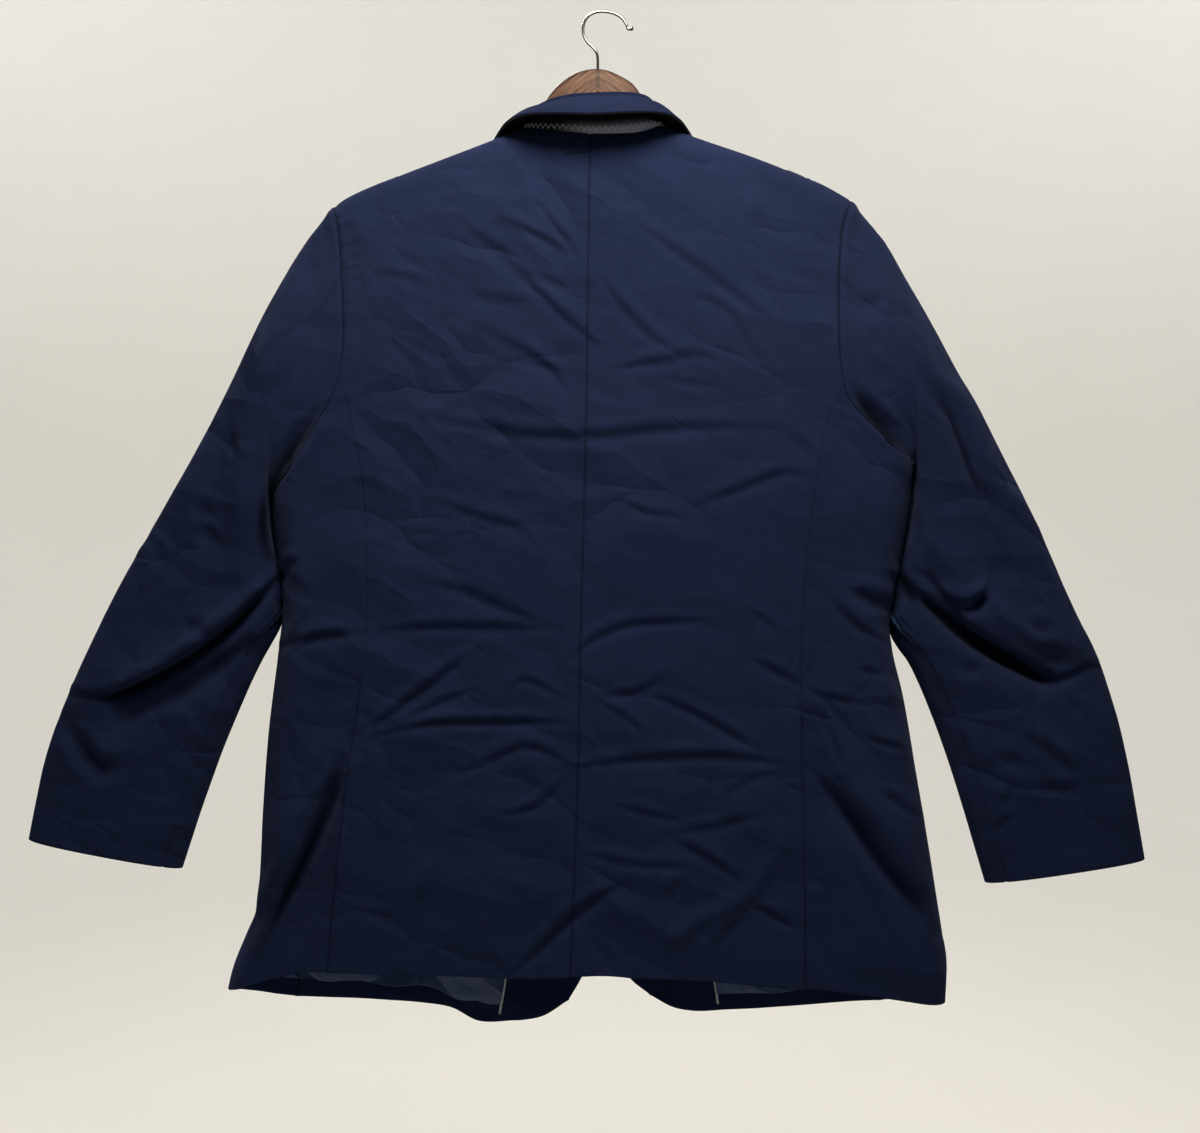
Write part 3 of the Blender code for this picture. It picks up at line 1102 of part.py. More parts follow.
def build_hanger():
    """A loft of rounded sections along the arms, which bend forward with the shoulders."""
    places = column(HANGER, "x")
    points = []
    for x, top, bottom, half in zip(places, column(HANGER, "top"), column(HANGER, "bottom"),
                                    column(HANGER, "half_thickness")):
        middle_y = ARM_BEND * (abs(x) / TIP_OUT) ** BEND_POWER
        for k in range(HANGER_SIDES):
            angle = 2 * pi * k / HANGER_SIDES
            c, s = cos(angle), sin(angle)
            square = 1.0 if c > 0 else 0.75
            z = (top + bottom) / 2 + (top - bottom) / 2 * np.sign(c) * abs(c) ** square
            y = middle_y + half * np.sign(s) * abs(s) ** square
            points.append((x, y, z))
    faces = []
    count = len(HANGER)
    for i in range(count - 1):
        for k in range(HANGER_SIDES):
            a, b = i * HANGER_SIDES + k, i * HANGER_SIDES + (k + 1) % HANGER_SIDES
            faces.append((a, b, b + HANGER_SIDES, a + HANGER_SIDES))
    faces.append(tuple(range(HANGER_SIDES)))
    faces.append(tuple(reversed(range((count - 1) * HANGER_SIDES, count * HANGER_SIDES))))
    return solid("hanger", points, faces, walnut)


def build_hook():
    line = curve(HOOK_PATH, np.linspace(0, 1, HOOK_POINTS))
    stem = [(HOOK_PATH[0][0], 0.0, HANGER_PEAK + SEAM), (HOOK_PATH[0][0], 0.0, (HANGER_PEAK + HOOK_PATH[0][1]) / 2)]
    points = stem + [(x, 0.0, z) for x, z in line]
    return tube("hook", points, HOOK_RADIUS, 2, chrome)


HANGER_PEAK = max(row.top for row in HANGER)

for old in list(bpy.data.objects):
    bpy.data.objects.remove(old)

garment = bpy.data.collections.new(NAME)
bpy.context.scene.collection.children.link(garment)

navy = finish("navy_wool", NAVY, 0.75, sheen=0.3)
satin = finish("lining_satin", LINING_NAVY, 0.40)
melton = finish("melton", MELTON_GREY, 0.95, sheen=0.4)
piping_grey = finish("piping", PIPING_GREY, 0.60)
horn = finish("buttons", BUTTON_NAVY, 0.35)
walnut = finish("hanger_wood", WALNUT, 0.45)
chrome = finish("hook_metal", CHROME, 0.15, metallic=1.0)

for side in SIDES:
    build_back(side)
    build_side(side)
    build_front(side)
    build_lapel(side)
    build_facing(side)
    build_piping(side)
    build_lining(side)
    build_sleeve(side, "top")
    build_sleeve(side, "under")
    build_flap("flap_" + side, side, FLAPS[side])
build_flap("breast_welt", "left", WELT)
build_collar()
build_buttons()
build_hanger()
build_hook()
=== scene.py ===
"""The looks of a navy blazer on a wooden hanger, seen from its back.

Metres, +Z up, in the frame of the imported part: the origin is the inner top of the hook, and "out" is a
distance from the plane X = 0 to the named side. Creases are placed by the photograph's pixels.
"""

from collections import namedtuple
from math import cos, pi, radians, sin

import bmesh
import bpy
import numpy as np
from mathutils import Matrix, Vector


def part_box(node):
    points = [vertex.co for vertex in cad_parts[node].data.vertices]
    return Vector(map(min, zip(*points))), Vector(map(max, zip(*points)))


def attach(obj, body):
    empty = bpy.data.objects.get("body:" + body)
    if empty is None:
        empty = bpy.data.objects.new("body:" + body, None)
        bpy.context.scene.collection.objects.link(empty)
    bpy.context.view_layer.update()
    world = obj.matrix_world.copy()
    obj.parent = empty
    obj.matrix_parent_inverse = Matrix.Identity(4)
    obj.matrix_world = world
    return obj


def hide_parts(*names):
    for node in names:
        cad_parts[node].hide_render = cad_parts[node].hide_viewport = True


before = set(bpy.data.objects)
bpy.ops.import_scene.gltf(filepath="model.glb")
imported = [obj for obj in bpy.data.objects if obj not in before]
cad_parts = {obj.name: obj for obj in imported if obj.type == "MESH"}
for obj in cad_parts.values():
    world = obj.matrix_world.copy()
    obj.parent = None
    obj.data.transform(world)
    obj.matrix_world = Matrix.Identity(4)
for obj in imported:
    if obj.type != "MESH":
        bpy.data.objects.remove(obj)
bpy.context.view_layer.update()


def table(kind, *rows):
    """Rows of one named kind."""
    return tuple(kind(*row) for row in rows)


def crease_rows(*rows):
    """Creases from rows of kind, half-width, depth and the points of the path."""
    return tuple(Crease(kind, width, depth, path) for kind, width, depth, *path in rows)


# Cloth
CLOTH = 0.0018
COLLAR_CLOTH = 0.0011
MELTON = 0.0010
LINING = 0.0010
FACING = 0.0015
LAPEL = 0.0022
SEAM = 0.0003
LAYER_GAP = 0.0004
LAPEL_GAP = 0.0009

# The hung body, front to back
SHOULDER_ROUND = 0.018
SHOULDER_DEPTH = 0.014
BACK_FULLNESS = 0.026
BACK_FALL = 0.07
NECK_FULLNESS = 0.010
NECK_WIDTH = 0.07
NECK_FALL = 0.12
NECK_START = 0.03
FRONT_FULLNESS = 0.022
FRONT_FALL = 0.09
SIDE_ROUND = 0.030
TIP_OUT = 0.2375
ARM_BEND = 0.020
BEND_POWER = 1.5
BEND_FADE = 0.22
BEND_LEFT_BELOW = 0.20
FRONT_LAP = 0.0038
LAP_REACH = 0.05
LAP_FADE = 0.08
LAP_TOP = -0.30
LAP_TOP_FADE = 0.15

SIDES = ("left", "right")
SIGN = {"left": -1.0, "right": 1.0}
CENTRE_TOP_X = -0.013

# The shoulder ridge, from the neck to the shoulder tip
Ridge = namedtuple("Ridge", "out z")
RIDGE = {
    "left": table(Ridge,
        (0.06, -0.102), (0.08, -0.1094), (0.1016, -0.1174), (0.1208, -0.1245), (0.1479, -0.1345),
        (0.1959, -0.152), (0.2434, -0.1694), (0.2636, -0.1791), (0.3, -0.196)),
    "right": table(Ridge,
        (0.04, -0.103), (0.056, -0.1082), (0.0757, -0.1147), (0.1074, -0.1252), (0.1346, -0.134),
        (0.1837, -0.1514), (0.2085, -0.16), (0.2375, -0.1742), (0.28, -0.195)),
}

# How far out the side of the body lies, by height
Girth = namedtuple("Girth", "z out")
SIDE_OUT = {
    "left": table(Girth,
        (-0.15, 0.31), (-0.42, 0.3195), (-0.468, 0.32), (-0.507, 0.3165), (-0.538, 0.3108),
        (-0.567, 0.3088), (-0.61, 0.3127), (-0.687, 0.3223), (-0.764, 0.329), (-0.841, 0.3339),
        (-0.8603, 0.3358), (-0.8796, 0.3444), (-0.9181, 0.3598), (-0.9354, 0.3637)),
    "right": table(Girth,
        (-0.15, 0.295), (-0.4, 0.2965), (-0.4341, 0.2954), (-0.4562, 0.2925), (-0.4947, 0.2877),
        (-0.5399, 0.28), (-0.5861, 0.2723), (-0.6102, 0.275), (-0.6487, 0.2839), (-0.7256, 0.2964),
        (-0.8026, 0.3089), (-0.8796, 0.3214), (-0.8988, 0.3252), (-0.9469, 0.3252)),
}

# Seams that run down the body
CENTRE_BACK = table(Girth,
    (-0.1279, -0.0151), (-0.2359, -0.0169), (-0.3288, -0.0178), (-0.4681, -0.0206), (-0.6074, -0.0243),
    (-0.7466, -0.0271), (-0.911, -0.0336))
BACK_SEAM = {
    "left": table(Girth,
        (-0.3569, 0.2513), (-0.3869, 0.2405), (-0.4148, 0.2358), (-0.4493, 0.2293), (-0.5173, 0.2256),
        (-0.5862, 0.2246), (-0.6542, 0.2312), (-0.7129, 0.2405), (-0.7753, 0.2479), (-0.8339, 0.2544),
        (-0.9091, 0.2611)),
    "right": table(Girth,
        (-0.3625, 0.221), (-0.4055, 0.2057), (-0.4427, 0.1992), (-0.4837, 0.1926), (-0.5238, 0.188),
        (-0.6011, 0.1833), (-0.6635, 0.1824), (-0.7101, 0.1833), (-0.8032, 0.1852), (-0.9249, 0.1858)),
}
FRONT_SEAM = {
    "left": table(Girth, (-0.418, 0.285), (-0.5, 0.272), (-0.6, 0.265), (-0.75, 0.28), (-0.9535, 0.305)),
    "right": table(Girth, (-0.4, 0.256), (-0.48, 0.245), (-0.6, 0.238), (-0.75, 0.25), (-0.957, 0.27)),
}
VENT_TOP = {"left": -0.682, "right": -0.71}
VENT_UNDERLAP = 0.022
VENT_STEP = 0.0029
VENT_LEAD = 0.03
VENT_STEP_FADE = 0.05
SHORT_FADE = 0.012
SIDE_FOLD_FROM = 0.02
SIDE_FOLD_FADE = 0.015

# The armhole: how far round it (0 at the shoulder tip, 0.5 at the pit, 1 back at the tip), out and z.
# The back part ends and the front part starts at the side body's corners.
Arm = namedtuple("Arm", "around out z")
ARM_BACK_END = 0.35
ARM_PIT = 0.5
ARM_FRONT_START = 0.6
ARMHOLE = {
    "left": table(Arm,
        (0.0, 0.2636, -0.1791), (0.05, 0.2569, -0.205), (0.13, 0.2522, -0.24), (0.21, 0.2485, -0.28),
        (0.28, 0.2466, -0.322), (0.35, 0.2513, -0.3569), (0.39, 0.264, -0.385), (0.43, 0.285, -0.418),
        (0.47, 0.306, -0.45), (0.5, 0.32, -0.468), (0.54, 0.306, -0.449), (0.6, 0.285, -0.418),
        (0.67, 0.264, -0.383), (0.75, 0.25, -0.34), (0.83, 0.245, -0.285), (0.91, 0.249, -0.229),
        (0.96, 0.256, -0.198), (1.0, 0.2636, -0.1791)),
    "right": table(Arm,
        (0.0, 0.2375, -0.1742), (0.05, 0.2272, -0.2005), (0.13, 0.2208, -0.2459), (0.21, 0.2187, -0.2908),
        (0.28, 0.2189, -0.3329), (0.35, 0.2225, -0.3625), (0.39, 0.2313, -0.3804), (0.43, 0.2538, -0.4019),
        (0.47, 0.2771, -0.4228), (0.5, 0.2954, -0.4341), (0.54, 0.278, -0.4228), (0.6, 0.256, -0.4),
        (0.67, 0.234, -0.37), (0.75, 0.223, -0.325), (0.83, 0.2195, -0.275), (0.91, 0.2225, -0.222),
        (0.96, 0.229, -0.195), (1.0, 0.2375, -0.1742)),
}

# Free edges, by out and z
Edge = namedtuple("Edge", "out z")
BACK_NECK = {
    "left": table(Edge,
        (0.0151, -0.1279), (0.0311, -0.1252), (0.052, -0.1205), (0.069, -0.114), (0.08, -0.1094)),
    "right": table(Edge,
        (-0.0151, -0.1279), (0.0083, -0.1267), (0.0318, -0.1214), (0.046, -0.114), (0.056, -0.1082)),
}
BACK_HEM = {
    "left": table(Edge, (0.0336, -0.911), (0.0429, -0.9119), (0.145, -0.911), (0.2611, -0.9091)),
    "right": table(Edge,
        (-0.0336, -0.911), (0.0007, -0.9101), (0.0314, -0.9129), (0.0936, -0.9156), (0.1858, -0.9249)),
}
FRONT_EDGE = {
    "left": table(Edge,
        (0.08, -0.1094), (0.085, -0.127), (0.088, -0.148), (0.0855, -0.17), (0.066, -0.27),
        (0.0255, -0.43), (-0.015, -0.585), (-0.014, -0.66), (-0.01, -0.72), (-0.001, -0.8), (0.01, -0.87),
        (0.0234, -0.933), (0.037, -0.957)),
    "right": table(Edge,
        (0.056, -0.1082), (0.06, -0.125), (0.062, -0.145), (0.0595, -0.168), (0.0435, -0.27),
        (0.0085, -0.43), (-0.025, -0.585), (-0.024, -0.66), (-0.018, -0.72), (-0.004, -0.8), (0.01, -0.87),
        (0.0237, -0.9331), (0.0433, -0.9498)),
}
FRONT_HEM = {
    "left": table(Edge,
        (0.037, -0.957), (0.0597, -0.9715), (0.1038, -0.9763), (0.1332, -0.9743), (0.1479, -0.965),
        (0.2018, -0.9576), (0.305, -0.9535)),
    "right": table(Edge,
        (0.0433, -0.9498), (0.0727, -0.9645), (0.1119, -0.9655), (0.1903, -0.9616), (0.2491, -0.9576),
        (0.27, -0.957)),
}
# The side body's hem: how far across it from the back seam, and z
SideHem = namedtuple("SideHem", "across z")
SIDE_HEM = {
    "left": table(SideHem,
        (0.0, -0.9085), (0.25, -0.9114), (0.42, -0.9222), (0.62, -0.9354), (0.8, -0.948), (1.0, -0.9535)),
    "right": table(SideHem,
        (0.0, -0.9215), (0.25, -0.928), (0.52, -0.938), (0.72, -0.9469), (0.85, -0.953), (1.0, -0.957)),
}

# Lapels, facings and linings, on the fronts
LAPEL_TOP = {
    "left": table(Edge, (0.088, -0.157), (0.118, -0.17), (0.165, -0.214)),
    "right": table(Edge, (0.0625, -0.1545), (0.092, -0.167), (0.138, -0.212)),
}
LAPEL_EDGE = {
    "left": table(Edge, (0.165, -0.214), (0.15, -0.3), (0.108, -0.43), (0.047, -0.53), (-0.01, -0.583)),
    "right": table(Edge, (0.138, -0.212), (0.123, -0.3), (0.085, -0.43), (0.03, -0.53), (-0.02, -0.583)),
}
FACING_TOP = -0.6
FACING_INSET = 0.001
FACING_EDGE = {
    "left": table(Edge, (0.09, -0.6), (0.093, -0.8), (0.0975, -0.935), (0.103, -0.9735)),
    "right": table(Edge, (0.086, -0.6), (0.095, -0.8), (0.1045, -0.9345), (0.1085, -0.9635)),
}
PIPING_RADIUS = 0.0012
HEM_TURN = 0.016
LINING_TOP = -0.66
LINING_REACH = 0.004
LINING_DROP = 0.0022
LINING_SIDE_DROP = 0.005
LINING_SIDE_FROM = 0.55
LINING_SIDE_WIDTH = 0.45
# Low down the lining waves: how fast each wave runs round, where it starts and its share, and the ripple's
# run round and down
LINING_LOW_FROM = 0.7
LINING_LOW_WIDTH = 0.3
LINING_WAVE = 0.0022
LINING_WAVES = ((95, 1.0, 1.0), (41, 2.5, 0.6))
LINING_WAVE_SHARE = 0.6
LINING_RIPPLE = 0.0007
LINING_RIPPLE_RUN = (120, 35)
LAPEL_INSET = 0.0005
PIPING_POINTS = 60
PIPING_STRIP = 0.002
PIPING_END_RISE = 0.004
PIPING_END_FROM = 0.9
PIPING_END_WIDTH = 0.1

# Sleeves: rings from the armhole down to the cuff, seen from behind
Ring = namedtuple("Ring", "down outer_out outer_z inner_out inner_z half_depth")
SLEEVE = {
    "left": table(Ring,
        (0.0, 0.2636, -0.1791, 0.32, -0.468, 0.033), (0.05, 0.2893, -0.2149, 0.3218, -0.479, 0.034),
        (0.13, 0.3134, -0.2593, 0.3215, -0.495, 0.034), (0.27, 0.352, -0.3365, 0.3175, -0.523, 0.032),
        (0.4, 0.3915, -0.4126, 0.3125, -0.556, 0.03), (0.52, 0.4301, -0.4801, 0.316, -0.588, 0.028),
        (0.64, 0.4706, -0.5515, 0.336, -0.628, 0.026), (0.76, 0.5072, -0.6267, 0.365, -0.695, 0.024),
        (0.87, 0.5361, -0.6991, 0.3867, -0.755, 0.021), (1.0, 0.5555, -0.7916, 0.4079, -0.8196, 0.018)),
    "right": table(Ring,
        (0.0, 0.2375, -0.1742, 0.2954, -0.4341, 0.033), (0.05, 0.2672, -0.2101, 0.296, -0.443, 0.034),
        (0.13, 0.2913, -0.2545, 0.295, -0.464, 0.034), (0.27, 0.3308, -0.3307, 0.2903, -0.502, 0.032),
        (0.4, 0.3732, -0.4088, 0.281, -0.556, 0.03), (0.52, 0.4128, -0.485, 0.2785, -0.595, 0.028),
        (0.64, 0.4465, -0.5621, 0.297, -0.63, 0.026), (0.76, 0.4764, -0.6248, 0.3215, -0.693, 0.024),
        (0.87, 0.4996, -0.6991, 0.3425, -0.756, 0.021), (1.0, 0.5198, -0.8109, 0.3655, -0.8331, 0.018)),
}
SLEEVE_MID_Y = 0.008
SLEEVE_SQUARENESS = 0.85
SLEEVE_CLEAR = 0.0035
SLEEVE_FREE = 0.001
SLEEVE_BACK = 0.35
SLEEVE_PLAIN_END = 0.06
COLUMNS_SETTLE = 0.3
SEAMS_SETTLE = 0.05
PIT_REACH = 0.032
TIP_REACH = 0.22
REACH_POWER = 1.5
DEPTH_REACH = 0.05

# Sleeve seams, measured round a ring: 0 at the outer edge, 1 at the inner edge, 2 outer again by the front
SleeveSeam = namedtuple("SleeveSeam", "down hind fore")
SLEEVE_SEAMS = table(SleeveSeam,
    (0.0, 0.32, 1.25), (0.15, 0.29, 1.21), (0.3, 0.3, 1.12), (0.42, 0.33, 1.01), (0.55, 0.29, 0.92),
    (0.66, 0.17, 0.89), (0.78, 0.04, 0.88), (0.9, 0.008, 0.87), (1.0, 0.004, 0.87))

# Where the grids have their lines
ARM_STEPS = (0.0, 0.03, 0.08, 0.17, 0.3, 0.45, 0.6, 0.8, 1.0)
HIND_STEP = 5
SIDE_COLUMNS = 9
SEAM_ROWS = 19
BACK_COLUMNS = 10
NECK_COLUMNS = 5
FRONT_COLUMNS = 9
SLEEVE_ROWS = (0.0, 0.04, 0.07, 0.12, 0.17, 0.22, 0.27, 0.32, 0.37, 0.42, 0.47, 0.52, 0.57, 0.62, 0.67, 0.72,
               0.77, 0.83, 0.89, 0.95, 1.0)

# The largest folds: each runs through three points and lifts (+) or sinks (-) the cloth, less at its ends
FOLD_END = 0.35
FOLD_TAPER = 0.25
FOLD_SAMPLES = 13
Fold = namedtuple("Fold", "piece start middle end width lift")
FOLDS = table(Fold,
    ("side_left", (-0.236, -0.69), (-0.27, -0.79), (-0.326, -0.925), 0.016, -0.008),
    ("side_left", (-0.27, -0.7), (-0.305, -0.8), (-0.356, -0.925), 0.014, 0.006),
    ("side_right", (0.19, -0.72), (0.25, -0.8), (0.31, -0.89), 0.016, -0.008),
    ("side_right", (0.23, -0.72), (0.285, -0.8), (0.322, -0.86), 0.014, 0.005),
    ("sleeve_left", (-0.325, -0.555), (-0.395, -0.61), (-0.5, -0.655), 0.016, 0.006),
    ("sleeve_left", (-0.34, -0.61), (-0.41, -0.65), (-0.505, -0.672), 0.014, -0.009),
    ("sleeve_left", (-0.29, -0.215), (-0.325, -0.37), (-0.345, -0.53), 0.022, 0.006),
    ("sleeve_right", (0.295, -0.535), (0.375, -0.61), (0.46, -0.64), 0.016, -0.009),
    ("sleeve_right", (0.32, -0.52), (0.39, -0.59), (0.47, -0.605), 0.014, 0.006),
    ("sleeve_right", (0.295, -0.33), (0.345, -0.43), (0.4, -0.51), 0.02, 0.006))

# Collar, by station from the left gorge round the back to the right gorge: the roll's rise above the neck
# seam, how far it leans out, and the fall's edge
Collar = namedtuple("Collar", "neck rise lean edge_x edge_y edge_z")
COLLAR = table(Collar,
    (0.0, 0.0075, 0.0005, -0.13, 0.0365, -0.169), (0.077, 0.0072, 0.0005, -0.124, 0.033, -0.148),
    (0.115, 0.0085, 0.0, -0.119, 0.028, -0.1345), (0.154, 0.0092, 0.0, -0.113, 0.019, -0.1225),
    (0.192, 0.0102, 0.0, -0.1055, 0.006, -0.114), (0.231, 0.013, -0.001, -0.096, -0.016, -0.1095),
    (0.269, 0.0175, -0.002, -0.0875, -0.031, -0.109), (0.308, 0.024, -0.003, -0.0785, -0.042, -0.1095),
    (0.346, 0.03, -0.004, -0.067, -0.051, -0.111), (0.4, 0.036, -0.0055, -0.05, -0.059, -0.113),
    (0.5, 0.042, -0.008, -0.013, -0.066, -0.1158), (0.6, 0.041, -0.0065, 0.0255, -0.0605, -0.1125),
    (0.654, 0.038, -0.005, 0.042, -0.052, -0.11), (0.692, 0.0335, -0.004, 0.053, -0.0435, -0.108),
    (0.731, 0.025, -0.003, 0.062, -0.034, -0.1075), (0.769, 0.015, -0.001, 0.07, -0.022, -0.108),
    (0.808, 0.0102, 0.0, 0.077, -0.005, -0.11), (0.846, 0.0092, 0.0, 0.084, 0.013, -0.1145),
    (0.885, 0.0085, 0.0, 0.09, 0.024, -0.128), (0.923, 0.0072, 0.0005, 0.095, 0.03, -0.143),
    (1.0, 0.0075, 0.0005, 0.104, 0.0345, -0.1655))
COLLAR_COLUMNS = 26
COLLAR_SEAT = 0.001
COLLAR_FRONT_SEAT = 0.003
ROLL_RADIUS = 0.0058
FRONT_ROLL_RADIUS = 0.0041
LOW_ROLL = 0.0062
ROLL_GROWTH = 0.35
ROLL_SHOULDER = 0.6
ROLL_FLATNESS = 0.25
COLLAR_BACK_HALF = 0.18
COLLAR_TO_FRONT = 0.28
COLLAR_OVER_SEAM = 0.0001
NECK_CENTRE_Y = 0.015
FALL_BOW = 0.003

# Pockets, on the hidden front
Patch = namedtuple("Patch", "out_in out_away z_in z_away height")
FLAPS = {
    "left": Patch(0.1, 0.252, -0.712, -0.703, 0.052),
    "right": Patch(0.088, 0.236, -0.712, -0.703, 0.052),
}
WELT = Patch(0.15, 0.234, -0.338, -0.328, 0.024)
PATCH_COLUMNS = 6
PATCH_ROWS = 2

# Buttons
FRONT_BUTTON_RADIUS = 0.01
CUFF_BUTTON_RADIUS = 0.0072
BUTTON_THICKNESS = 0.0035
BUTTON_TURNS = 40
# Its outline as shares of the radius and of half the thickness, and its thread's path and thickness
BUTTON_OUTLINE = ((0.80, -1), (0.94, -0.6), (1, 0.0), (0.97, 0.7), (0.88, 1), (0.78, 0.8), (0.66, 0.25),
                  (0.30, 0.15))
THREAD_REACH = 0.24
THREAD_PATH = ((-1, 0.0), (-1, 0.35), (0, 0.55), (1, 0.35), (1, 0.0))
BUTTON_THREAD = 1.2

# Hanger: sections along x
Wood = namedtuple("Wood", "x top bottom half_thickness")
HANGER = table(Wood,
    (-0.236, -0.174, -0.19, 0.006), (-0.228, -0.168, -0.196, 0.009), (-0.2, -0.1567, -0.19, 0.01),
    (-0.15, -0.1385, -0.174, 0.0095), (-0.122, -0.1281, -0.164, 0.0085), (-0.1016, -0.12, -0.156, 0.0075),
    (-0.085, -0.1148, -0.149, 0.0065), (-0.07, -0.107, -0.143, 0.006), (-0.0599, -0.0863, -0.139, 0.006),
    (-0.0479, -0.07, -0.132, 0.006), (-0.03, -0.057, -0.125, 0.006), (-0.0079, -0.0527, -0.12, 0.006),
    (0.0127, -0.059, -0.123, 0.006), (0.03, -0.072, -0.131, 0.006), (0.045, -0.102, -0.139, 0.0065),
    (0.056, -0.1125, -0.146, 0.007), (0.0757, -0.1175, -0.156, 0.0075), (0.1, -0.1258, -0.164, 0.0085),
    (0.135, -0.1372, -0.173, 0.0095), (0.175, -0.1515, -0.186, 0.01), (0.203, -0.164, -0.191, 0.009),
    (0.211, -0.17, -0.186, 0.006))
HANGER_PARTS = 6
HANGER_TURNS = 36
HANGER_TIP = 0.55
HANGER_TIP_GROWTH = 0.15
HANGER_SQUARENESS = 0.75
HOOK_RADIUS = 0.00135
HOOK_PARTS = 120
HOOK_ROUNDNESS = 6
HOOK_STEM = (0.0105, 0.006, 0.003)
# The ball on the hook's end
HOOK_TIP_RADIUS = 0.0021
HOOK_TIP_GAP = 0.15
HOOK_TIP_RINGS = 14
HOOK_TIP_TURNS = 24
HOOK_PATH = ((-0.0079, -0.044), (-0.0083, -0.04), (-0.0098, -0.0358), (-0.013, -0.032), (-0.0175, -0.0278),
             (-0.0209, -0.0218), (-0.022, -0.0151), (-0.0202, -0.0069), (-0.015, -0.0008), (-0.0075, 0.0019),
             (0.001, 0.0018), (0.009, -0.0004), (0.0154, -0.0044), (0.0195, -0.0104), (0.0218, -0.015),
             (0.0245, -0.0142))

# The photograph's camera
PHOTO_WIDTH = 1200
PHOTO_HEIGHT = 1133
SENSOR = 36.0
LENS = 41.935
EYE = (-0.00575, -1.34, -0.52985)

